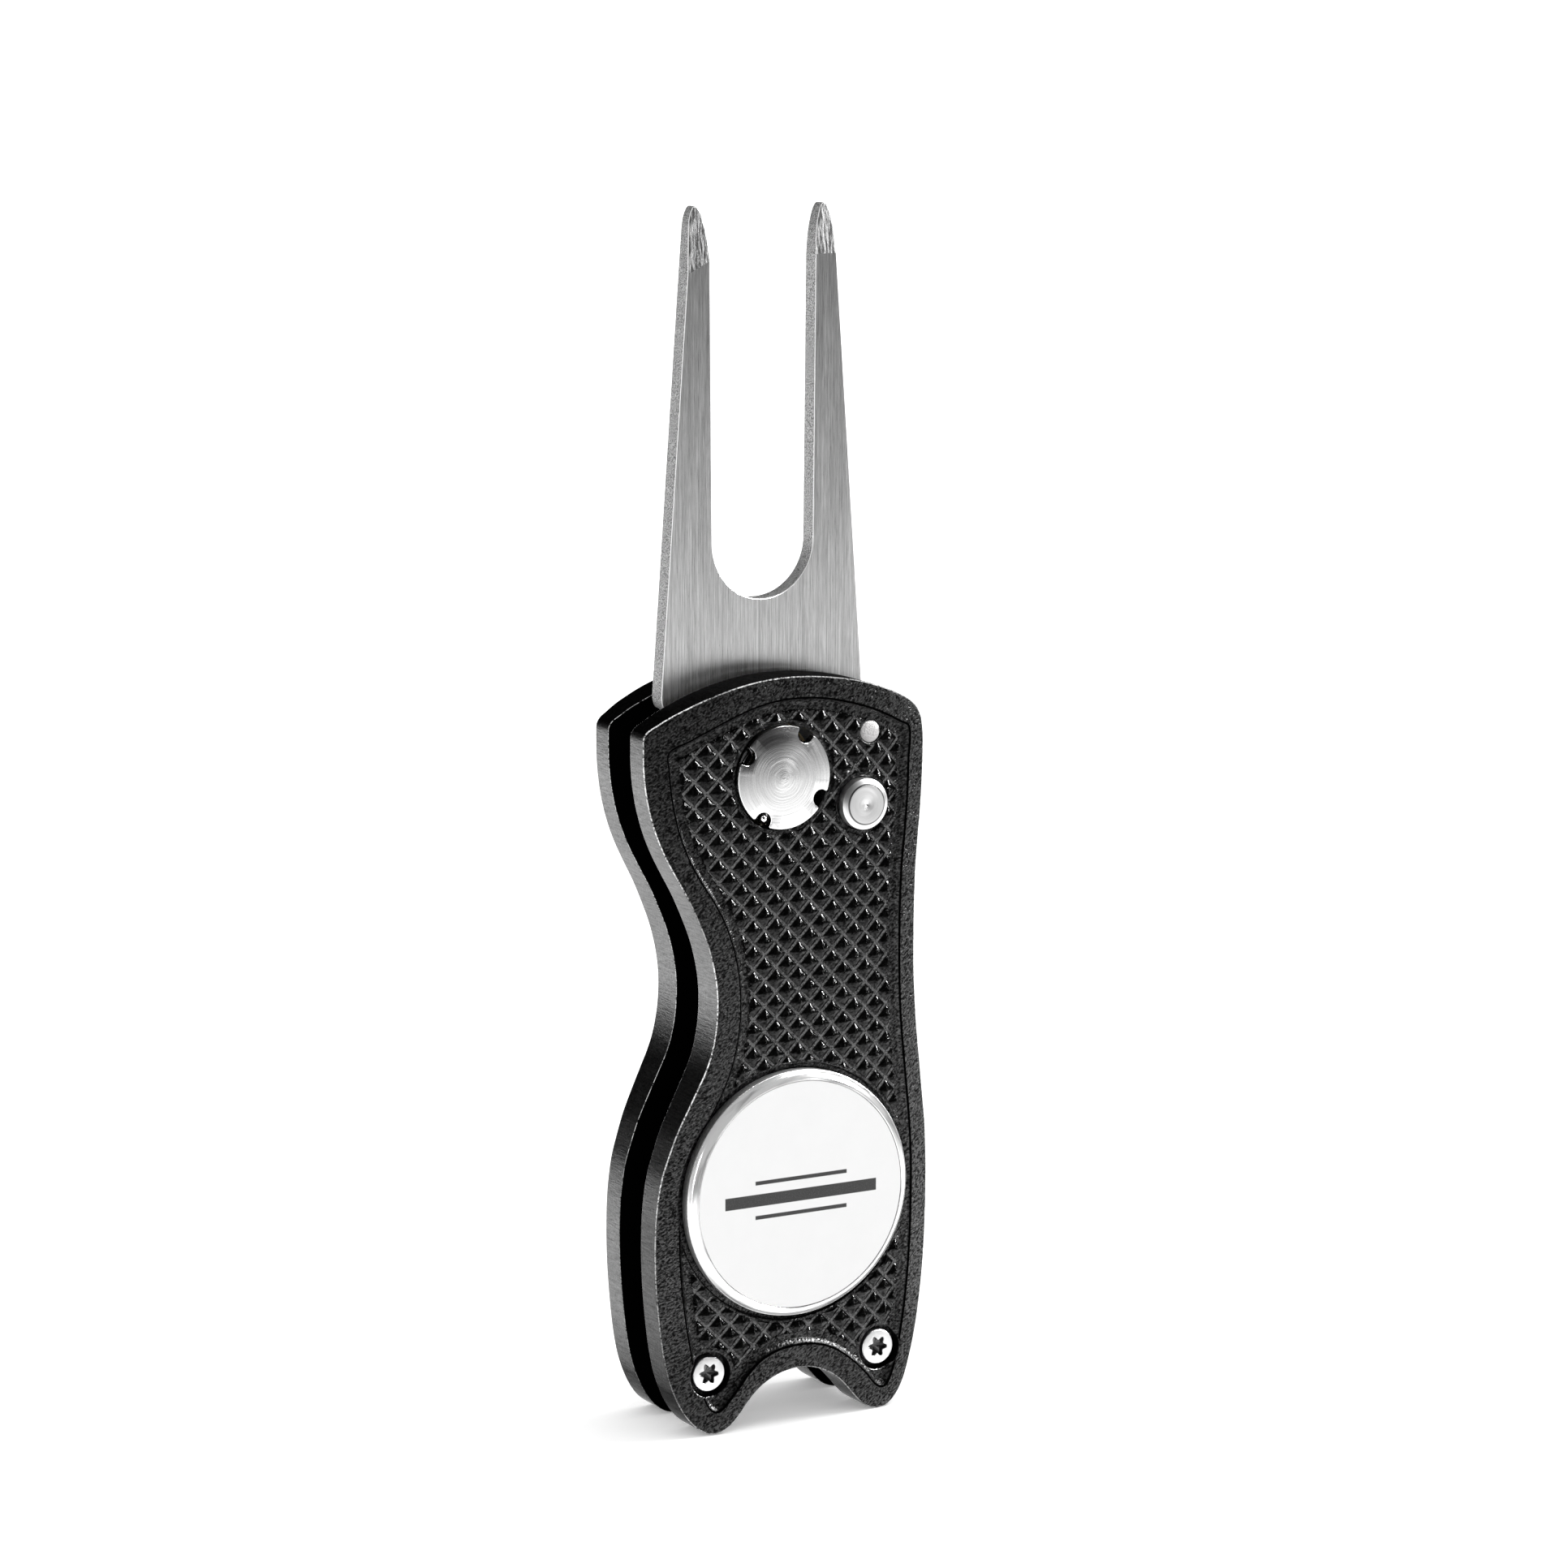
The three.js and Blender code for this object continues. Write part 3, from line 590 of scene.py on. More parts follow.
class Graph:
    """builds a node tree; inputs are constants or Wires, by name or index"""

    def __init__(self, owner):
        owner.use_nodes = True
        self.tree = owner.node_tree
        self.tree.nodes.clear()

    def new(self, kind, inputs=(), **settings):
        node = self.tree.nodes.new(kind)
        for key, value in settings.items():
            setattr(node, key, value)
        for key, value in dict(inputs).items():
            if isinstance(value, Wire):
                self.tree.links.new(value.socket, node.inputs[key])
            else:
                node.inputs[key].default_value = value
        return node

    def add(self, kind, inputs=(), out=0, **settings):
        return Wire(self, self.new(kind, inputs, **settings).outputs[out])

    def math(self, operation, *values):
        return self.add("ShaderNodeMath", enumerate(values), operation=operation)

    def vector(self, operation, *values):
        return self.add("ShaderNodeVectorMath", enumerate(values), operation=operation)

    def times(self, vector, factor):
        return self.vector("MULTIPLY", vector, (factor,) * 3)

    def split(self, vector):
        node = self.new("ShaderNodeSeparateXYZ", {0: vector})
        return [Wire(self, socket) for socket in node.outputs]

    def combine(self, x=0.0, y=0.0, z=0.0):
        return self.add("ShaderNodeCombineXYZ", {"X": x, "Y": y, "Z": z})

    def mix(self, mask, under, over):
        """color under, covered by over where mask is 1; a plain number is a gray"""
        under, over = ((c, c, c, 1) if isinstance(c, float) else c for c in (under, over))
        return self.add("ShaderNodeMix", {0: mask, 6: under, 7: over}, out=2, data_type="RGBA")

    def mix_values(self, mask, under, over):
        return self.add("ShaderNodeMix", {0: mask, 2: under, 3: over}, data_type="FLOAT")


class Material(Graph):
    def __init__(self, name):
        self.material = bpy.data.materials.new(name)
        super().__init__(self.material)
        coords = self.add("ShaderNodeTexCoord", out="Object")
        # position in mm from the pivot
        self.place = self.vector("SUBTRACT", self.times(coords, 1000), tuple(PIVOT))

    def attribute(self, name):
        return self.add("ShaderNodeAttribute", out=2, attribute_name=name)

    def normal(self):
        return self.split(self.add("ShaderNodeNewGeometry", out="Normal"))

    def noise(self, vector=None, scale=1.0, detail=3, rough=0.55, distortion=0.0, out=0):
        return self.add("ShaderNodeTexNoise", {
            "Vector": vector or self.place, "Scale": scale, "Detail": detail,
            "Roughness": rough, "Distortion": distortion}, out)

    def stretched(self, x, y, z):
        return self.vector("MULTIPLY", self.place, (x, y, z))

    def bump(self, height, depth, **normal):
        """depth is in mm"""
        return self.add("ShaderNodeBump", {
            "Strength": 1.0, "Distance": depth * MM, "Height": height, **normal})

    def from_axis(self, axis):
        """x, y, z from a Y line through axis (x, z)"""
        return self.split(self.vector("SUBTRACT", self.place, (axis[0], 0, axis[1])))

    def around(self, x, z):
        """radius, and the unit vector outward"""
        radius = self.math("SQRT", x ** 2 + z ** 2)
        return radius, self.vector("NORMALIZE", self.combine(x=x, z=z))

    def finish(self, **inputs):
        named = {key.replace("_", " "): value for key, value in inputs.items()}
        surface = self.add("ShaderNodeBsdfPrincipled", named)
        self.new("ShaderNodeOutputMaterial", {0: surface})
        return self.material


def black_casting():
    """black coated casting: grainy land and glossier pyramids, with painted highlights on grain
    crests and edges and painted shade in the recess's crease and the gap
    """
    mat = Material("black_casting")
    marks = mat.attribute("gloss")      # see surface_marks
    edge = mat.attribute("edge")
    gloss = mat.math("MAXIMUM", mat.math("MINIMUM", marks, 1.0), 0.0)
    groove = marks.remap(over=(1.3, 1.9))
    # painted shade: a black line along the recess's crease
    crease = marks.remap(over=(-0.75, -0.2), to=(1.0, 0.0))
    normal_x, normal_y, normal_z = mat.normal()
    wall = abs(normal_y).remap(over=(0.3, 0.7), to=(1.0, 0.0))
    x, y, z = mat.split(mat.place)
    low = z.remap(over=(-44.0, -37.0), to=(1.0, 0.0))
    # painted shade on the gap faces between the scales
    inner = abs(y).remap(over=(2.27, 2.31), to=(1.0, 0.0))

    # orange-peel grain in short slanting strokes about 0.3 mm apart;
    # the slant is a rotation, then each axis has its own grain per mm
    slant_cos, slant_sin = 0.84, 0.54
    stroke = x * slant_cos + z * slant_sin
    across = x * -slant_sin + z * slant_cos
    strokes = mat.combine(x=stroke * 3.2, y=y * 3.5, z=across * 5.2)
    warp = mat.noise(scale=0.9, detail=2.0, rough=0.5, out=1)
    peel = mat.noise(mat.vector("ADD", strokes, mat.times(warp, factor=1.6)),
                     detail=2.0, distortion=0.4)
    fine = mat.noise(scale=6.0, detail=2, rough=0.6)
    broad = mat.noise(scale=0.3, detail=2, rough=0.5)
    crest = peel.remap(over=(0.38, 0.63))
    # side walls: fine marks that run across the thickness
    hatch = mat.noise(mat.stretched(x=3.6, y=0.6, z=7.0), rough=0.65, distortion=0.1)
    hatch_share = 0.6
    height = peel * (1.0 - wall * hatch_share) + hatch * (wall * hatch_share)
    depth = gloss.remap(to=(0.095, 0.03)) * wall.remap(to=(1.0, 0.45))

    color = mat.mix(broad, under=0.0006, over=0.0014)
    # painted highlight: the crests of the grain are a little lighter, less so on the pyramids and
    # walls
    crest_highlight = crest ** 2.0 * (gloss.remap(to=(1.0, 0.2)) * wall.remap(to=(1.0, 0.1)))
    color = mat.mix(crest_highlight, color, over=0.014)
    color = mat.mix(groove * fine.remap(over=(0.38, 0.60), to=(0.15, 1.0)), color, over=0.13)
    # painted highlight in broken lines along the rounded edges, weaker low down and on edges that
    # face right
    line = edge.remap(over=(0.35, 0.95), smooth=True)
    broken = mat.noise(scale=4.2, rough=0.75).remap(over=(0.40, 0.55))
    patch = mat.noise(scale=0.16, detail=2, rough=0.5).remap(over=(0.34, 0.58), to=(0.3, 1.0))
    glint_low_dimming = 0.55
    edge_glint = line * broken * patch * (1.0 - low * glint_low_dimming)
    glint_facing = normal_x.remap(over=(-0.2, 0.4), to=(1.0, 0.45))
    color = mat.mix(edge_glint * glint_facing, color, over=0.95)
    rough_swing = 0.15
    rough = gloss.remap(to=(0.30, 0.115)) + (fine - 0.5) * rough_swing

    # the grain also modulates the highlights
    tone = mat.mix(gloss, crest.remap(to=(0.10, 1.70)), crest.remap(to=(0.12, 0.76)))
    wall_grain = hatch * 0.7 + peel * 0.3
    tone = mat.mix(wall, tone, wall_grain.remap(over=(0.36, 0.64), to=(0.45, 1.65)))
    face_shine, wall_shine = 0.30, 0.46
    # painted shade in the reflections of low walls, less on the front side and least at the foot
    low_shine = (y.remap(over=(-1.0, 1.0), to=(0.12, 0.36))
                 * z.remap(over=(-61.0, -54.0), to=(0.03, 1.0)))
    shine = wall_shine * (1.0 - low) + low_shine * low
    shine = face_shine * (1.0 - wall) + shine * wall
    # painted light and shade in the reflections: walls that look up lose their shine, faces grow
    # brighter downward, except at the foot
    upward = normal_z.remap(over=(0.3, 0.62), to=(0.0, 0.9995))
    shine = shine * tone * (1.0 - wall * upward)
    fade = (z.remap(over=(8.0, -46.0), to=(0.42, 1.2))
            * z.remap(over=(-60.0, -52.0), to=(0.6, 1.0)))
    shine = shine * (wall + (1.0 - wall) * fade)
    # painted shade: the crease line and the gap faces go black and lose their shine
    dark = mat.math("MAXIMUM", crease, inner)
    return mat.finish(Base_Color=mat.mix(dark, color, over=0.0006), Roughness=rough,
                      Normal=mat.bump(height, depth), Specular_IOR_Level=shine * (1.0 - dark))


def fork_steel():
    """steel brushed along Z, with speckled side walls and ground tips"""
    mat = Material("fork_steel")
    fine = mat.noise(mat.stretched(x=21, y=21, z=0.36), rough=0.7)
    coarse = mat.noise(mat.stretched(x=8.5, y=8.5, z=0.10), rough=0.6)
    cloud = mat.noise(mat.stretched(x=0.5, y=0.5, z=0.14), detail=2, rough=0.5)
    z = mat.split(mat.place)[2]
    normal_x, normal_y, normal_z = mat.normal()
    side = abs(normal_y).remap(over=(0.25, 0.6), to=(1.0, 0.0))
    # the ground tips face a little upward, the flat front does not
    tip = (normal_z.remap(over=(0.05, 0.09))
           * z.remap(over=(FORK.high[2] - 8.0, FORK.high[2] - 7.0)))

    def grinding():
        lines = mat.stretched(x=4.6, y=4.6, z=0.07)
        return mat.noise(mat.vector("ADD", lines, (0.0, 0.0, 1.3)), rough=0.7)

    tooth = mat.noise(mat.stretched(x=5, y=5, z=2.2), rough=0.7)
    speck = mat.noise(scale=9.0, rough=0.75)
    # relief: brushing on the flats, grinding on the tips, specks on the sides
    height = (fine * 0.9 + coarse * 0.5) * (1.0 - side)
    height = height + (grinding() + tooth * 0.15) * tip * 3.0
    height = height + speck * side * 3.0

    streak = fine * 0.55 + coarse * 0.45
    color = mat.mix(streak.remap(over=(0.40, 0.60)), under=0.36, over=0.75)
    cloudiness = 0.25
    color = mat.mix(cloud * cloudiness, color, over=0.5)
    ground = mat.mix(grinding().remap(over=(0.42, 0.60)), under=0.03, over=0.18)
    color = mat.mix(tip, color, ground)
    # painted shade: the flats darken toward the tips
    light = z.remap(over=(8.0, 52.0), to=(1.0, 0.60)) ** 1.0
    color = mat.mix((1.0 - light) * (1.0 - tip), color, over=0.02)
    specks = mat.mix(speck.remap(over=(0.42, 0.58)), under=0.03, over=0.50)
    color = mat.mix(side, color, specks)
    # painted highlight: a bright line on the left edges
    edge = mat.attribute("edge")
    left = edge.remap(over=(0.2, 0.7)) * normal_x.remap(over=(-0.15, -0.4))
    color = mat.mix(left, color, over=0.95)
    rough_mean, rough_swing, rough_unbrushed = 0.30, 0.2, 0.12
    rough = (rough_mean + (fine - 0.5) * rough_swing
             + mat.math("MAXIMUM", side, tip) * rough_unbrushed)
    brushing = 0.75
    metal_loss = mat.math("MAXIMUM", left * 0.8, side * 0.7)
    return mat.finish(Base_Color=color, Metallic=1.0 - metal_loss, Roughness=rough,
                      Normal=mat.bump(height, depth=0.014),
                      Anisotropic=brushing * (1.0 - mat.math("MAXIMUM", side, tip)),
                      Tangent=mat.combine(x=1.0))


def turned(name, axis, grays, rough, rings, depth, brushing=0.0, wander=0.0, shade=0.0,
           line=0.0):
    """Bright turned metal: fine rings about a Y axis, rings to the mm. shade is how strongly
    painted shade darkens the top, line is the radius of a dark ring."""
    mat = Material(name)
    x, y, z = mat.from_axis(axis)
    radius, outward = mat.around(x, z)
    # rings wander a little, as a hand-fed tool leaves them
    drift = mat.noise(scale=0.35, detail=2, rough=0.5)
    wavy = radius + (drift - 0.5) * wander
    fine = mat.noise(mat.vector("ADD", mat.combine(x=wavy * rings, z=y * 3.0),
                                mat.times(outward, factor=0.35)), detail=4, rough=0.65)
    coarse = mat.noise(mat.vector("ADD", mat.combine(x=wavy * (rings * 0.3)),
                                  mat.times(outward, factor=0.6)), rough=0.6)
    grit = mat.noise(scale=6.0, rough=0.7)
    height = fine * 0.6 + (coarse * 0.9 + grit * 0.12)
    tone = (fine * 0.6 + coarse * 0.4).remap(over=(0.3, 0.7))
    color = mat.mix(tone, *grays)
    # painted shade deep in sockets
    color = mat.mix(mat.attribute("socket"), color, over=0.03)
    if shade:
        # painted shade, by distance toward the top, leaning a little left, with a ragged border
        upward = x * -0.24 + z * 0.95 + (coarse - 0.5) * 1.2
        color = mat.mix(upward.remap(over=(1.9, 3.4), to=(0.0, shade)), color, over=0.05)
    if line:
        ring = abs(radius - line).remap(over=(0.05, 0.10), to=(0.85, 0.0))
        color = mat.mix(ring, color, over=0.02)
    rough_swing = 0.2
    return mat.finish(Base_Color=color, Metallic=1.0,
                      Roughness=rough + (coarse - 0.5) * rough_swing,
                      Normal=mat.bump(height, depth), Anisotropic=brushing, Tangent=outward)


def plated(name, base, rough, grain, depth, tint=(1, 1, 1)):
    """even metal with a fine grain; grain is the noise scale, depth its relief in mm"""
    mat = Material(name)
    fine = mat.noise(scale=grain, rough=0.65)
    broad = mat.noise(scale=1.1, rough=0.6)
    darkest, brightest = 0.86, 1.06     # shares of base
    dark = tuple(base * darkest * t for t in tint) + (1,)
    bright = tuple(min(1, base * brightest * t) for t in tint) + (1,)
    color = mat.mix(broad * 0.5 + fine * 0.5, dark, bright)
    # painted shade deep in sockets
    color = mat.mix(mat.attribute("socket"), color, over=0.09)
    rough_swing = 0.18
    return mat.finish(Base_Color=color, Metallic=1.0, Normal=mat.bump(fine, depth),
                      Roughness=rough + (fine - 0.5) * rough_swing)


def marker_chrome():
    mat = Material("marker_chrome")
    x, y, z = mat.from_axis(MARKER.axis)
    radius, outward = mat.around(x, z)
    wall = radius.remap(over=(MARKER.radius - 0.07, MARKER.radius - 0.02))
    # side wall: fine knurl along the thickness
    knurl = mat.noise(mat.vector("ADD", mat.times(outward, factor=34.0),
                                 mat.combine(y=y * 2.6)), scale=2.0, rough=0.75)
    # band: painted reflection, pale with long soft gray smears along the rim; the smears also
    # ripple the surface
    smear = mat.noise(mat.vector("ADD", mat.times(outward, factor=2.1),
                                 mat.combine(y=radius * 1.6)), distortion=0.4)
    height = knurl * wall * 6.0 + smear * 0.5
    painted_reflection = mat.mix(smear.remap(over=(0.48, 0.64)), under=0.70, over=0.36)
    color = mat.mix(wall, painted_reflection, mat.mix(knurl, under=0.15, over=0.55))
    rough_mean, rough_wall, rough_smear = 0.12, 0.3, 0.06
    return mat.finish(Base_Color=color, Metallic=wall.remap(to=(0.42, 0.9)),
                      Roughness=wall * rough_wall + (rough_mean + smear * rough_smear),
                      Normal=mat.bump(height, depth=0.012))


def marker_enamel():
    """gloss white enamel with a gray line along X and a thinner, shorter one on each side"""
    mat = Material("marker_enamel")
    x, _, z = mat.from_axis(MARKER.axis)
    x, z = abs(x), abs(z)

    def bar(half_length, z_middle, half_width):
        masks = [(abs(value - middle) - half).remap(over=(-0.03, 0.03), to=(1.0, 0.0))
                 for value, middle, half in ((x, 0.0, half_length), (z, z_middle, half_width))]
        return masks[0] * masks[1]

    ink = mat.math("MAXIMUM", bar(half_length=8.6, z_middle=0.0, half_width=0.62),
                   bar(half_length=5.2, z_middle=1.75, half_width=0.2))
    broad = mat.noise(scale=0.5, detail=2, rough=0.5)
    fine = mat.noise(scale=9.0, rough=0.6)
    color = mat.mix(broad, under=0.705, over=0.735)
    color = mat.mix(ink * fine.remap(over=(0.2, 0.5), to=(0.93, 1.0)), color, over=0.018)
    rough_enamel, rough_ink = 0.13, 0.15
    fine_relief = 0.05
    return mat.finish(Base_Color=color, Roughness=rough_enamel + ink * rough_ink,
                      Normal=mat.bump(broad + fine * fine_relief, depth=0.01),
                      Specular_IOR_Level=0.35)


def black_plastic():
    mat = Material("black_plastic")
    grain = mat.noise(scale=5.0, rough=0.6)
    broad = mat.noise(scale=0.6, detail=2, rough=0.5)
    bevel = mat.add("ShaderNodeBevel", {"Radius": 0.1 * MM}, samples=4)
    rough_least, rough_swing = 0.42, 0.2
    return mat.finish(Base_Color=mat.mix(broad, under=0.014, over=0.024),
                      Roughness=rough_least + grain * rough_swing,
                      Normal=mat.bump(grain, depth=0.02, Normal=bevel))


# ---------------------------------------------------------------- scales
SCALE_LOOP = counterclockwise(spline(OUTLINE + SHIFT, 0.3))
SCALE_LOOP = np.clip(SCALE_LOOP, SCALE.low[[0, 2]], SCALE.high[[0, 2]])
PANEL_LOOP = counterclockwise(spline(PANEL + SHIFT, 0.3))
CHECK_LOOP = offset(PANEL_LOOP, CHECK_INSET)
CHECK_LOOP = CHECK_LOOP[np.concatenate(
    [[True], np.linalg.norm(np.diff(CHECK_LOOP, axis=0), axis=1) > 0.02])]


def groove_distances(points):
    """distance to the nearest groove of each diagonal family"""
    x, z = (points - CHECK_ORIGIN).T
    cells = [(x + z) / CHECK_DIAGONAL, (x - z) / CHECK_DIAGONAL]
    return [np.abs(cell - np.round(cell)) * CHECK_SPACING for cell in cells]


def pyramid_height(points):
    """height of the checkering, 0 to 1"""
    first, second = (np.clip((gap - CHECK_GROOVE) / (CHECK_SPACING / 2 - CHECK_GROOVE), 0, 1)
                     for gap in groove_distances(points))
    blend = 0.30
    ridge = np.maximum(blend - np.abs(first - second), 0) / blend
    rise = np.minimum(first, second)
    # ridges are rounded over and the foot stands a little steeper
    rise = rise - ridge * ridge * blend * 0.25 * np.clip(rise / 0.12, 0, 1)
    return np.clip(0.80 * rise + 0.20 * (1 - (1 - rise) ** 5), 0, 1)


def panel_drop(points):
    """depth of the recess: a curved bank down to the floor and a slightly rounded lip"""
    bank, lip = 0.62, 0.10
    within = inside(points, PANEL_LOOP)
    gap = loop_distance(points, PANEL_LOOP)
    drop = np.where(within, PANEL_DEPTH * (1 - (1 - np.clip(gap / bank, 0, 1)) ** 2), 0.0)
    return drop + np.where((~within) & (gap < lip), 0.05 * (1 - gap / lip) ** 2, 0.0)


def clear_of(points, zones, grow=0.0):
    clear = np.ones(len(points), bool)
    for (x, z), radius in zones:
        clear &= (points[:, 0] - x) ** 2 + (points[:, 1] - z) ** 2 > (radius + grow) ** 2
    return clear


def stretches(points, keep):
    """kept stretches of a closed loop as open creases; one over the seam comes first"""
    groups = []
    for i, point in enumerate(points):
        if keep[i]:
            if i == 0 or not keep[i - 1]:
                groups.append([])
            groups[-1].append(point)
    if len(groups) > 1 and keep[0] and keep[-1]:
        groups[0] = groups.pop() + groups[0]
    return [(np.array(group), False) for group in groups if len(group) > 1]


def checkering_edge(zones):
    """creases of the small step from the checkering down to the floor"""
    creases = []
    for grow in (0.0, 0.06):
        loop = offset(PANEL_LOOP, CHECK_INSET - grow)
        creases += stretches(loop, clear_of(loop, zones, -grow - 0.001))
        within = loop if grow else CHECK_LOOP
        for zone in zones:
            center, radius = zone
            count = max(40, int(2 * math.pi * radius / 0.3))
            ring = circle(center, radius - grow + (0 if grow else 0.001), count)
            others = [other for other in zones if other is not zone]
            keep = inside(ring, within) & clear_of(ring, others, -grow)
            if keep.all():
                creases.append((ring, True))
            else:
                gap = int(np.argmin(keep))
                creases += stretches(np.roll(ring, -gap, 0), np.roll(keep, -gap))
    return creases


def groove_lines():
    """long diagonals along grooves, flanks and ridges"""
    low, high = CHECK_LOOP.min(0), CHECK_LOOP.max(0)
    left, right = low[0] - 1, high[0] + 1
    from_groove = (-0.60, -0.36, -0.19, -CHECK_GROOVE, CHECK_GROOVE, 0.19, 0.36, 0.60,
                   CHECK_SPACING / 2)
    lines = []
    for k in range(-60, 61):
        for slope in (1, -1):
            for gap in from_groove:
                reach = k * CHECK_DIAGONAL + gap * math.sqrt(2)
                ends = [CHECK_ORIGIN[1] + slope * (reach - (x - CHECK_ORIGIN[0]))
                        for x in (left, right)]
                if max(ends) >= low[1] and min(ends) <= high[1]:
                    lines.append((np.array([left, ends[0]]), np.array([right, ends[1]])))
    return lines


def scale_holes(facing):
    inner = facing * SCALE_INNER
    pin = round_hole(PIN.axis, 1.18, 48, (0.08, 0.06), [(1.18, inner)])
    screw_steps = [(2.3, facing * 4.55), (1.05, facing * 4.55), (1.05, inner)]
    screws = [round_hole(screw.axis, 2.3, 72, (0.09, 0.07), screw_steps)
              for screw in SCREWS.values()]
    if facing == BACK:
        bolt = round_hole(BORE, BOLT_HOLE, 96, (0.10, 0.08), [
            (BOLT_HOLE, 5.2), (1.7, 5.2), (1.7, 3.3), (3.0, 3.3), (3.0, inner)])
        return [bolt, pin] + screws
    cap = round_hole(BORE, CAP_HOLE, 160, (0.10, 0.08), [(CAP_HOLE, inner)])
    button = round_hole(BUTTON.axis, 2.68, 96, (0.12, 0.08),
                        [(2.68, -3.0), (3.05, -3.0), (3.05, inner)])
    magnet = MAGNET.radius + 0.08
    seat = round_hole(MARKER.axis, SEAT_RADIUS, 240, (0.10, 0.10), [
        (SEAT_RADIUS, SEAT_FLOOR - 0.15), (SEAT_RADIUS - 0.15, SEAT_FLOOR),
        (magnet, SEAT_FLOOR), (magnet, MAGNET.back + 0.04)], through=False)
    return [cap, button, pin, seat] + screws


def build_scale(side, facing, material):
    # round zones without checkering, (center, radius)
    zones = [(BORE, CAP_HOLE + 0.42 if facing == FRONT else BOLT_HOLE + 0.5), (PIN.axis, 1.43)]
    zones += [(screw.axis, 2.75) for screw in SCREWS.values()]
    if facing == FRONT:
        zones += [(BUTTON.axis, 3.15), (MARKER.axis, SEAT_RADIUS + 0.3)]

    def checkered(points):
        return inside(points, CHECK_LOOP) & clear_of(points, zones)

    def face(points):
        rise = np.where(checkered(points), pyramid_height(points) * CHECK_HEIGHT, 0.0)
        beyond = np.maximum(0, np.abs(points[:, 0] - CROWN_X) - CROWN_FLAT)
        crown = CROWN_CURVE * beyond * beyond
        return facing * (SCALE_OUTER - crown - panel_drop(points) + rise)

    def surface_marks(points):
        """0 rim and floor, 1 pyramids, 2 bottoms of the grooves, below 0 the painted shade line
        along the recess's crease
        """
        gap = loop_distance(points, PANEL_LOOP)
        inward = np.where(inside(points, PANEL_LOOP), gap, -gap)
        near = inward > -0.12
        crease = np.where(near & (inward < 0.045), -1.0, np.where(near & (inward < 0.1), -0.5, 0.0))
        in_groove = np.minimum(*groove_distances(points)) < CHECK_GROOVE + 0.01
        return np.where(checkered(points), np.where(in_groove, 2.0, 1.0), crease)

    # contours of the lip and bank, by distance inside the panel's edge
    bank = (-0.15, -0.1, -0.04, 0.0, 0.03, 0.08, 0.16, 0.27, 0.42, 0.62)
    creases = [(offset(PANEL_LOOP, gap) if gap else PANEL_LOOP, True) for gap in bank]
    creases += checkering_edge(zones)
    creases += [(np.array(piece), False)
                for piece in clip_lines(groove_lines(), CHECK_LOOP, zones, checkered)]
    # support points on the rim and the floor's margin
    support = offset(SCALE_LOOP, 1.0)[::4].tolist() + offset(PANEL_LOOP, 0.9)[::3].tolist()
    plate(side + "_scale_skin", SCALE_LOOP, face, facing * SCALE_INNER, (0.16, 0.12),
          scale_holes(facing), creases, support, facing, surface_marks, smooth=24,
          replaces=side + "_scale", slot="black_casting", material=material)


casting = black_casting()
build_scale("front", FRONT, casting)
build_scale("back", BACK, casting)

# ---------------------------------------------------------------- fork
FORK_X = 0.42               # middle line of the fork
SLOT_FOOT = 17.0            # lowest z of the slot between the tines
SLOT_HALF = 5.66


def arc(center, radius, start, end, step=4.0):
    """points on an arc, angles in degrees"""
    count = max(2, int(abs(end - start) / step))
    angles = [math.radians(start + (end - start) * i / count) for i in range(count + 1)]
    return [(center[0] + radius * math.cos(a), center[1] + radius * math.sin(a)) for a in angles]


def bend(start, control, end, count=8):
    """points on a quadratic curve"""
    return [tuple((1 - t) ** 2 * p + 2 * t * (1 - t) * c + t * t * q
                  for p, c, q in zip(start, control, end))
            for t in (i / count for i in range(count + 1))]


def fork_outline():
    tip = FORK.high[2]

    def half_width(z):
        return 11.85 - 0.0729 * z

    def slot_half(z):
        return SLOT_HALF + (z - SLOT_FOOT - 5.8) * 0.0081

    left, right = (lambda z: FORK_X - half_width(z)), (lambda z: FORK_X + half_width(z))
    # round the foot from the left shoulder, with notches for button and pin
    loop = bend((left(8.2), 8.2), (left(7.0), 6.75), (-10.1, 6.65))
    loop += [(-9.6, 6.2)]
    loop += arc((-BUTTON.axis[0], -BUTTON.axis[1]), 2.9, 97, -62)
    loop += arc(BORE, 7.9, 178, 323)
    loop += arc(BUTTON.axis, 2.9, 207, 112)
    loop += arc(BORE, 7.9, 356, 370, step=3)
    loop += arc(PIN.axis, 1.25, 200, 62)
    loop += [(11.1, 6.1)]
    loop += bend((11.3, 6.35), (right(7.0), 6.75), (right(8.2), 8.2))
    # outer side and tip of a tine, (distance from the middle line, z)
    tine = [(half_width(z), z) for z in np.arange(10, 51, 2.0)] + [(7.98, 53.0)]
    tine += bend((7.95, 53.4), (7.75, 55.0), (7.2, tip - 0.02))
    tine += bend((7.15, tip), (6.85, tip), (6.55, 54.7), 5)
    tine += bend((6.5, 54.5), (5.95, 52.9), (5.88, 50.2))
    loop += [(FORK_X + out, z) for out, z in tine]
    loop += [(FORK_X + slot_half(z), z) for z in np.arange(48, SLOT_FOOT + 7, -2.0)]
    loop += arc((FORK_X, SLOT_FOOT + SLOT_HALF), SLOT_HALF, 0, -180, step=3.75)
    loop += [(FORK_X - slot_half(z), z) for z in np.arange(SLOT_FOOT + 7, 49, 2.0)]
    loop += [(FORK_X - out, z) for out, z in reversed(tine)]
    return counterclockwise(relax(resample(np.array(loop), 0.12), 0.13, 0.12))


def harden_flats(obj):
    """flats meet their edges and ground tips on a hard line"""
    edit = bmesh.new()
    edit.from_mesh(obj.data)
    for edge in edit.edges:
        if len(edge.link_faces) == 2:
            one, other = (face.normal for face in edge.link_faces)
            if (max(abs(one.y), abs(other.y)) > 0.985
                    and one.dot(other) < math.cos(math.radians(3))):
                edge.smooth = False
    edit.to_mesh(obj.data)
    edit.free()


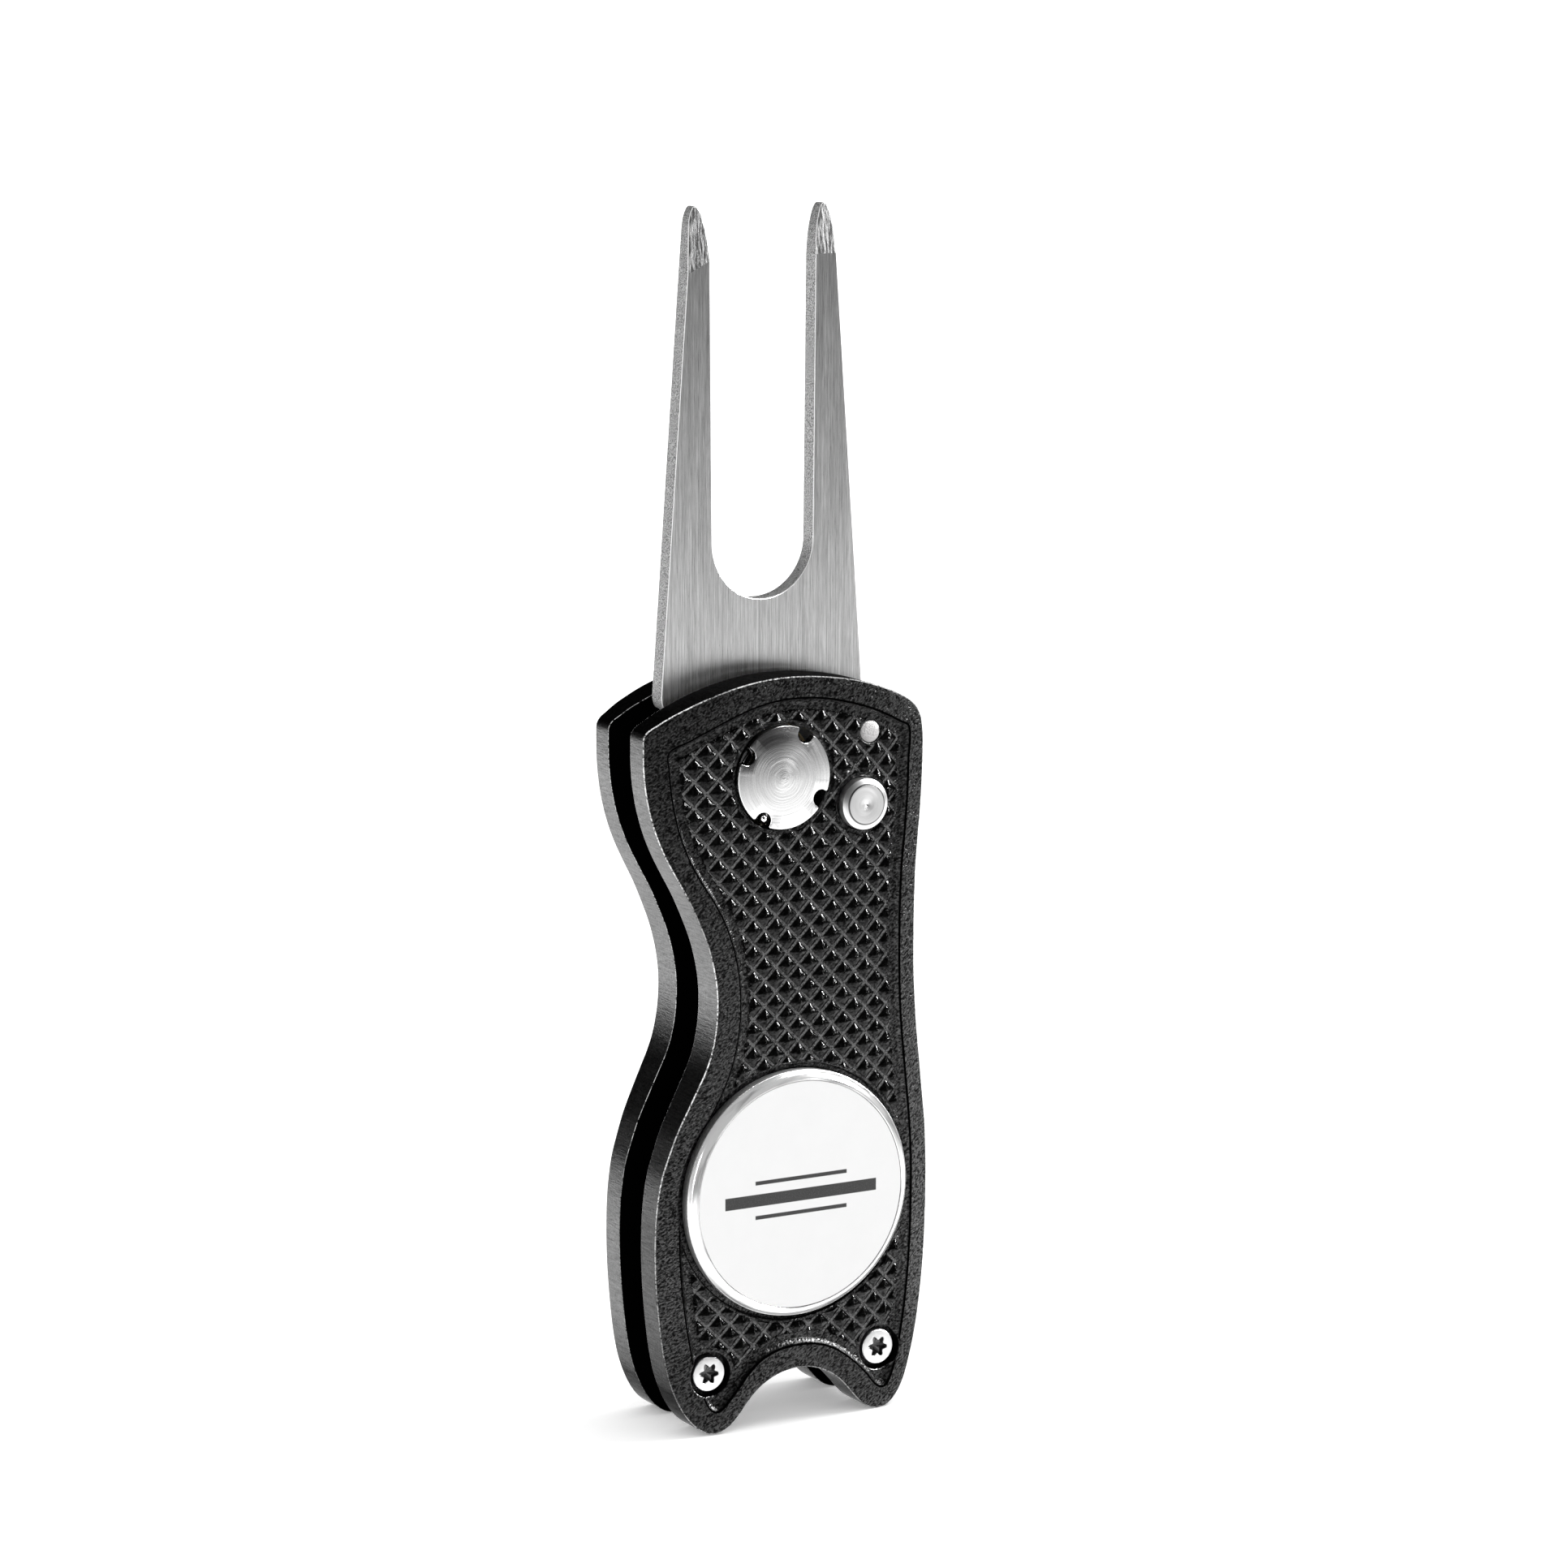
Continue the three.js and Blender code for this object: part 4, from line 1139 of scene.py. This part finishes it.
def build_fork():
    def grind_start(x):
        """z where the ground tip begins, on the left and the right tine"""
        return np.where(x < 0.4, 48.9 + (x + 7.9) * 0.5, 50.45 + (x - 6.3) * 0.02)

    def face(points):
        return FORK.front + np.maximum(0, points[:, 1] - grind_start(points[:, 0])) * 0.125

    creases = []
    for start, end in ((-7.75, -5.6), (6.5, 8.55)):
        x = np.linspace(start, end, 4)
        creases.append((np.stack([x, grind_start(x)], 1), False))
    holes = [round_hole(BORE, 2.98, 64, (0.05, 0.05), [(2.98, FORK.back)]),
             round_hole((-3.95, 0.6), 0.5, 20, (0.02, 0.03), [(0.5, FORK.back)])]
    harden_flats(plate("fork_plate", fork_outline(), face, FORK.back, (0.09, 0.09), holes,
                       creases, soften=0.1, segments=2, smooth=25, body="fork",
                       replaces="fork", slot="fork_steel", material=fork_steel()))


build_fork()


# ---------------------------------------------------------------- pivot
def cap_outline():
    """a disc with four round notches in its edge"""
    radius, notch_ring, notch = CAP.radius, 4.75, 0.88
    # half angles of a notch's mouth, seen from the disc's center and from the notch's
    mouth = math.acos((radius * radius + notch_ring * notch_ring - notch * notch)
                      / (2 * radius * notch_ring))
    bite = math.acos((notch * notch + notch_ring * notch_ring - radius * radius)
                     / (2 * notch * notch_ring))
    loop = []
    for k in range(4):
        angle = math.radians(60 + 90 * k)
        start, end = math.radians(60 + 90 * (k - 1)) + mouth, angle - mouth
        for i in range(41):
            t = start + (end - start) * i / 40
            loop.append((radius * math.cos(t), radius * math.sin(t)))
        for i in range(1, 22):
            t = angle + math.pi + bite - 2 * bite * i / 22
            loop.append((notch_ring * math.cos(angle) + notch * math.cos(t),
                         notch_ring * math.sin(angle) + notch * math.sin(t)))
    return counterclockwise(relax(resample(np.array(loop), 0.05), 0.12, 0.05))


def build_cap():
    def face(points):
        """a very flat cone, rounded at its point"""
        squared = np.sqrt(points[:, 0] ** 2 + points[:, 1] ** 2) ** 2
        return CAP.front + 0.30 * (np.sqrt(squared + 0.25) - 0.5) / CAP.radius

    creases = [(circle(BORE, radius, 72), True) for radius in (0.25, 0.55, 1.0, 1.8, 2.6, 3.3)]
    cap_metal = turned("turned_cap", BORE, grays=(0.44, 0.60), rough=0.22, rings=6.0,
                       depth=0.018, brushing=0.5, wander=0.5, shade=0.8)
    plate("pivot_cap_disc", cap_outline(), face, CAP.front + 1.1, (0.08, 0.04),
          creases=creases, soften=0.12, smooth=28, replaces="pivot_cap", slot="turned_steel",
          material=cap_metal)


def screw_head(name, axis, y_face, facing, radius, thickness, lobes, depth, rim=0.14,
               dome=0.03, **part):
    """round head with a six-lobe socket; lobes is the socket's mean radius and its swing"""
    angles = np.linspace(0, 2 * math.pi, 72, endpoint=False)
    reach = lobes[0] + lobes[1] * np.cos(6 * angles + math.pi / 6)
    star = np.stack([axis[0] + reach * np.cos(angles), axis[1] + reach * np.sin(angles)], 1)

    def face(points):
        squared = ((points - np.asarray(axis)) ** 2).sum(1)
        return y_face - facing * dome * squared / (radius * radius)

    steps = [(0.9, y_face - facing * depth), (0.3, y_face - facing * (depth + 0.18))]
    socket = hole(axis, star, [(0.96, 0.04), (0.94, 0.12)], steps, through=False, socket=True)
    plate(name, circle(axis, radius, 80), face, y_face - facing * thickness, (rim, 0.03),
          [socket], facing=facing, smooth=28, **part)


build_cap()
turned_metal = turned("turned_steel", BORE, grays=(0.6, 0.72), rough=0.26, rings=9.0, depth=0.01)
TURNED = dict(slot="turned_steel", material=turned_metal)
stem_start = CAP.front + 1.0
lathe("pivot_cap_stem", BORE,
      [(0, stem_start), (1.45, stem_start), (1.45, CAP.back), (0, CAP.back)], 40, **TURNED)
barrel = Box("pivot_barrel")
lathe("pivot_barrel_sleeve", BORE,
      turned_bar(1.6, barrel.high[0], barrel.front, barrel.back, chamfer=0.1), 72,
      replaces="pivot_barrel", **TURNED)
for washer, bore in (("washer_front", 5.45), ("washer_back", 3.05)):
    box = Box(washer)
    lathe(washer + "_ring", BORE,
          turned_bar(bore, box.high[0], box.front, box.back, chamfer=0.06), 80,
          replaces=washer, slot="washer_bronze",
          material=plated(washer + "_bronze", base=0.62, rough=0.36, grain=6.0, depth=0.012,
                          tint=(1.0, 0.78, 0.42)))

# ---------------------------------------------------------------- screws and bolt
screw_metal = plated("screw_steel", base=0.56, rough=0.38, grain=5.5, depth=0.02)
SCREW = dict(slot="screw_steel", material=screw_metal)
for side, screw in SCREWS.items():
    for facing, piece, y_face in (
            (FRONT, "screw_front_" + side, screw.front),
            (BACK, "screw_back_" + side, Box("screw_back_" + side).back)):
        screw_head(piece + "_head", screw.axis, y_face, facing, screw.radius, 0.9,
                   lobes=(0.93, 0.22), depth=0.62, replaces=piece, **SCREW)
        lathe(piece + "_shank", screw.axis,
              shank(0.95, start=y_face - facing * 0.88, end=facing * 0.25), 36, **SCREW)
    post = Box("standoff_" + side)
    lathe("standoff_" + side + "_tube", screw.axis,
          turned_bar(1.02, post.radius, post.front, post.back, chamfer=0.12), 64,
          replaces="standoff_" + side, **SCREW)

bolt = Box("pivot_bolt")
screw_head("pivot_bolt_head", BORE, bolt.back, BACK, bolt.high[0], 1.0, lobes=(1.25, 0.26),
           depth=0.7, rim=0.22, dome=0.05, replaces="pivot_bolt", **TURNED)
lathe("pivot_bolt_shank", BORE, shank(1.48, start=bolt.back - 0.98, end=bolt.front), 40,
      **TURNED)

# ---------------------------------------------------------------- button and pins
# face of the button: (radius, depth behind its front)
BUTTON_FACE = [(0, 0.09), (0.08, 0.08), (0.16, 0.03), (0.22, 0.006), (0.9, 0.003), (1.5, 0.001),
               (1.9, 0), (1.95, 0.004), (1.97, 0.05), (2.02, 0.06), (2.46, 0.25), (2.54, 0.31),
               (2.58, 0.42)]
# flange, waist, foot and tail: (radius, y)
BUTTON_STEM = [(2.58, -2.92), (2.95, -2.92), (2.95, -2.4), (1.45, -2.4), (1.45, 1.2),
               (2.75, 1.2), (2.75, 2.35), (0.95, 2.35), (0.95, BUTTON.back), (0, BUTTON.back)]
lathe("lock_button_plunger", BUTTON.axis,
      [(radius, BUTTON.front + depth) for radius, depth in BUTTON_FACE] + BUTTON_STEM, 128,
      body="button", replaces="lock_button", slot="turned_steel",
      material=turned("turned_button", BUTTON.axis, grays=(0.38, 0.46), rough=0.34, rings=7.0,
                      depth=0.007, brushing=0.2, line=2.0))

# softly domed pin end: (radius, depth)
PIN_END = [(0, 0), (0.5, 0.01), (0.95, 0.05), (1.07, 0.1), (PIN.radius, 0.2)]
lathe("stop_pin_rod", PIN.axis,
      [(radius, PIN.front + depth) for radius, depth in PIN_END]
      + [(radius, PIN.back - depth) for radius, depth in reversed(PIN_END)], 56,
      replaces="stop_pin", slot="screw_steel",
      material=plated("pin_steel", base=0.22, rough=0.55, grain=5.0, depth=0.05,
                      tint=(1.0, 0.985, 0.98)))
lathe("spine_dowel_rod", DOWEL.axis,
      turned_bar(0, DOWEL.radius, DOWEL.front, DOWEL.back, chamfer=0.1), 32,
      replaces="spine_dowel", **SCREW)


# ---------------------------------------------------------------- springs
def torsion_path():
    def point(radius, angle, y):
        return radius * math.cos(angle), y, radius * math.sin(angle)

    radius, front, back = 3.95, -4.75, -1.75
    start = 242.0
    turns = 3 + (171.4 - start) / 360
    # straight front leg, then the coil, then a short back leg
    leg = math.radians(240)
    path = [point(4.5, leg, y) for y in (-5.95, -5.7, -5.45)]
    path += [point(4.42, leg, -5.2), point(4.28, leg + 0.02, -5.0)]
    count = int(turns * 40)
    for i in range(2, count - 1):
        t = i / count
        path.append(point(radius, math.radians(start + turns * 360 * t),
                          front + (back - front) * t))
    end = math.radians(start + turns * 360)
    return path + [point(radius, end, y) for y in (-1.62, -1.46)]


def button_spring_path():
    radius, front, length = 1.75, 3.80, 1.26
    turns, per_turn = 2.75, 36
    count = int(turns * per_turn)
    path = []
    for i in range(count + 1):
        angle = 2 * math.pi * i / per_turn
        path.append((BUTTON.axis[0] + radius * math.cos(angle), front + length * i / count,
                     BUTTON.axis[1] + radius * math.sin(angle)))
    return path


WIRE = dict(slot="spring_steel",
            material=plated("spring_steel", base=0.8, rough=0.16, grain=3.0, depth=0.006))
tube("torsion_spring_wire", torsion_path(), 0.36, 14, replaces="torsion_spring", **WIRE)
tube("button_spring_wire", button_spring_path(), 0.19, 10, replaces="button_spring", **WIRE)

# ---------------------------------------------------------------- spine spacer
# left side going down, then right side going up on each side of the foot's arc, (x, z)
SPACER_LEFT = [(12.55, -9.8), (12.5, -14), (12.45, -20), (12.5, -26), (12.7, -32), (13.0, -38),
               (13.15, -44), (13.1, -50), (12.9, -54.6), (12.2, -55.5), (11.36, -56.0)]
SPACER_RIGHT = [(15.25, -54.9), (15.75, -50.9), (16.05, -46.5), (16.1, -42.5), (15.9, -37),
                (15.4, -32), (14.75, -27), (14.4, -22), (14.3, -17)]
SPACER_TOP = [(14.5, -11.5), (14.75, -9.8)]


def build_spacer():
    box = Box("spine_spacer")
    foot = arc((11.36, -59.42), 3.35, 96, 360, step=12)
    dowel_notch = arc(DOWEL.axis, 0.84, -55, -305, step=25)
    loop = np.array(SPACER_LEFT + foot + SPACER_RIGHT + dowel_notch + SPACER_TOP)
    loop = np.clip(counterclockwise(resample(loop, 0.35)), box.low[[0, 2]], box.high[[0, 2]])
    screw_hole = round_hole(SCREWS["right"].axis, 2.28, 48, (0.06, 0.06), [(2.28, box.back)])
    plate("spine_spacer_bar", loop, lambda points: np.full(len(points), box.front), box.back,
          (0.15, 0.15), [screw_hole], replaces="spine_spacer", slot="black_plastic",
          material=black_plastic())


build_spacer()


# ---------------------------------------------------------------- ball marker
def build_marker():
    lip, rim, front, back = INLAY.radius, MARKER.radius, MARKER.front, MARKER.back
    # pocket for the inlay, lip, sloping band, side wall, back
    body = [(0, front + 0.36), (lip + 0.06, front + 0.36), (lip + 0.06, front + 0.03),
            (lip + 0.10, front), (lip + 0.16, front), (lip + 0.22, front + 0.01),
            (lip + 0.4, front + 0.12), (lip + 0.62, front + 0.28), (lip + 0.80, front + 0.46),
            (rim - 0.1, front + 0.62), (rim - 0.02, front + 0.7), (rim, front + 0.8),
            (rim, back - 0.2), (rim - 0.06, back - 0.08), (rim - 0.16, back), (0, back)]
    lathe("marker_body_disc", MARKER.axis, body, 256, smooth=35, body="marker",
          replaces="marker_body", slot="marker_chrome", material=marker_chrome())
    front = INLAY.front
    inlay = [(0, front), (6.0, front + 0.004), (lip - 0.12, front + 0.015),
             (lip - 0.03, front + 0.035), (lip, front + 0.08), (lip, INLAY.back),
             (0, INLAY.back)]
    lathe("marker_inlay_face", MARKER.axis, inlay, 200, smooth=40, body="marker",
          replaces="marker_inlay", slot="marker_enamel", material=marker_enamel())
    front, rim = MAGNET.front, MAGNET.radius
    magnet = [(0, front), (rim - 0.2, front), (rim - 0.06, front + 0.05), (rim, front + 0.18),
              (rim, MAGNET.back), (0, MAGNET.back)]
    lathe("marker_magnet_disc", MAGNET.axis, magnet, 96, replaces="marker_magnet",
          slot="magnet_nickel",
          material=plated("magnet_nickel", base=0.66, rough=0.2, grain=2.0, depth=0.008,
                          tint=(1, 0.99, 0.96)))


build_marker()


# ---------------------------------------------------------------- stage, in metres
def floor_paper():
    """white paper that also glows a little"""
    material = bpy.data.materials.new("floor_paper")
    graph = Graph(material)
    coords = graph.add("ShaderNodeTexCoord", out="Object")
    cloud = graph.add("ShaderNodeTexNoise", {"Vector": coords, "Scale": 6.0})
    paper = graph.add("ShaderNodeBsdfDiffuse", {0: graph.mix(cloud, under=0.955, over=0.965)})
    glow = graph.add("ShaderNodeEmission", {"Strength": 0.25})
    both = graph.add("ShaderNodeAddShader", {0: paper, 1: glow})
    graph.new("ShaderNodeOutputMaterial", {0: both})
    return material


def build_floor():
    half, z = 14.0, CAD_BOX[0][2]
    mesh = bpy.data.meshes.new("floor")
    corners = [(-half, -half, z), (half, -half, z), (half, half, z), (-half, half, z)]
    mesh.from_pydata(corners, [], [(0, 1, 2, 3)])
    floor = link_object("floor", mesh)
    floor.visible_glossy = False
    mesh.materials.append(floor_paper())


def add_sun():
    """soft key light from the upper right, kept out of reflections"""
    sun = bpy.data.lights.new("key_softbox", "SUN")
    sun.energy = 1.25
    sun.angle = math.radians(24)
    obj = link_object("key_softbox", sun)
    obj.visible_glossy = False
    toward_sun = Vector((0.62, -0.1, 0.78))
    obj.rotation_euler = toward_sun.to_track_quat("Z", "Y").to_euler()


def curve(source, stops):
    """piecewise-linear value of source; stops are (source, value)"""
    start, end = stops[0][0], stops[-1][0]
    top = max(value for _, value in stops)
    node = source.graph.new("ShaderNodeFloatCurve", {1: source.remap(over=(start, end))})
    line = node.mapping.curves[0]
    while len(line.points) < len(stops):
        line.points.new(0.5, 0.5)
    for point, (x, value) in zip(line.points, stops):
        point.location = ((x - start) / (end - start), value / top)
        point.handle_type = "VECTOR"
    node.mapping.update()
    return Wire(source.graph, node.outputs[0]) * top


# brightness in reflections by the sine of the elevation: pale below, dark above
FRONT_GLOW = [(-1.0, 2.3), (-0.78, 2.2), (-0.4, 2.1), (-0.27, 1.85), (-0.2, 1.25), (-0.15, 0.80),
              (-0.105, 0.44), (-0.0576, 0.22), (0.0, 0.10), (0.09, 0.05), (0.5, 0.03),
              (1.0, 0.06)]
BACK_GLOW = [(-1.0, 0.8), (-0.6, 1.4), (-0.42, 2.2), (-0.3, 3.0), (-0.2, 4.7), (-0.14, 2.6),
             (-0.09, 0.5), (-0.04, 0.1), (0.05, 0.03), (0.4, 0.03), (1.0, 0.06)]
# factor on the front by the level direction's x, from left to right
SIDE_GLOW = [(-1.0, 2.6), (-0.6, 2.3), (-0.35, 1.1), (-0.1, 0.6), (0.15, 0.6), (0.45, 0.92),
             (0.78, 1.5), (1.0, 1.8)]
# how far the side factor gives way to one even value looking down
DOWNWARD = [(-1.0, 1.0), (-0.55, 1.0), (-0.28, 0.0), (1.0, 0.0)]
DOWN_FACTOR = 1.4


def build_world():
    """studio seen by glossy rays; diffuse and camera rays see plain white"""
    world = bpy.data.worlds.new("studio")
    bpy.context.scene.world = world
    world.cycles.sampling_method = "NONE"      # every ray asks the world by its own kind
    graph = Graph(world)
    x, y, z = graph.split(graph.add("ShaderNodeTexCoord", out="Generated"))
    front = curve(z, FRONT_GLOW)
    back = curve(z, BACK_GLOW)
    level = graph.math("SQRT", x ** 2.0 + y ** 2.0)
    side = curve(x / graph.math("MAXIMUM", level, 0.001), SIDE_GLOW)
    down = curve(z, DOWNWARD)
    front = front * (side * (1.0 - down) + down * DOWN_FACTOR)
    glow = graph.mix_values(y.remap(over=(-0.10, 0.45), smooth=True), front, back)
    rays = graph.new("ShaderNodeLightPath")
    for kind in ("Is Diffuse Ray", "Is Camera Ray"):
        glow = graph.mix_values(Wire(graph, rays.outputs[kind]), glow, 1.0)
    background = graph.add("ShaderNodeBackground", {0: (1, 1, 1, 1), 1: glow})
    graph.new("ShaderNodeOutputWorld", {0: background})


def softbox(name, toward, distance, size, radiance):
    """a lamp that only glints: it is seen in reflections and adds no diffuse light"""
    light = bpy.data.lights.new(name, "AREA")
    light.shape = "RECTANGLE"
    light.size, light.size_y = size
    light.energy = radiance * math.pi * size[0] * size[1]
    obj = link_object(name, light)
    toward = Vector(toward).normalized()
    obj.location = Vector(PIVOT) * MM + toward * distance
    obj.rotation_euler = toward.to_track_quat("Z", "Y").to_euler()
    obj.visible_diffuse = False
    obj.visible_camera = False


def add_camera():
    turn, rise, roll = -0.5154968, 0.1757899, 0.0022859     # radians
    place = Vector((-0.23056483, -0.41299131, 0.08244099)) + Vector(PIVOT) * MM
    backward = Vector((math.sin(turn) * math.cos(rise), -math.cos(turn) * math.cos(rise),
                       math.sin(rise)))
    right = Vector((math.cos(turn), math.sin(turn), 0))
    up = backward.cross(right)
    cosine, sine = math.cos(roll), math.sin(roll)
    right, up = right * cosine + up * sine, up * cosine - right * sine
    camera = bpy.data.cameras.new("camera")
    camera.lens = 111.6571118
    camera.sensor_width = 36
    camera.sensor_fit = "HORIZONTAL"
    camera.clip_start = 0.01
    camera.clip_end = 60
    obj = link_object("camera", camera)
    rows = [tuple(row) for row in zip(right, up, backward, place)]
    obj.matrix_world = Matrix(rows + [(0, 0, 0, 1)])
    bpy.context.scene.camera = obj


build_floor()
add_sun()
build_world()
softbox("overhead_box", toward=(0.48, -0.15, 0.84), distance=0.8, size=(0.30, 0.22),
        radiance=45.0)
softbox("right_box", toward=(0.815, -0.30, 0.495), distance=0.8, size=(0.24, 0.24),
        radiance=250.0)
softbox("left_strip", toward=(-0.83, -0.46, 0.02), distance=0.8, size=(0.05, 0.5),
        radiance=20.0)
softbox("front_lamp", toward=(0.56, -0.78, 0.27), distance=0.9, size=(0.05, 0.10),
        radiance=40.0)
add_camera()
bpy.context.scene.view_settings.view_transform = "Standard"
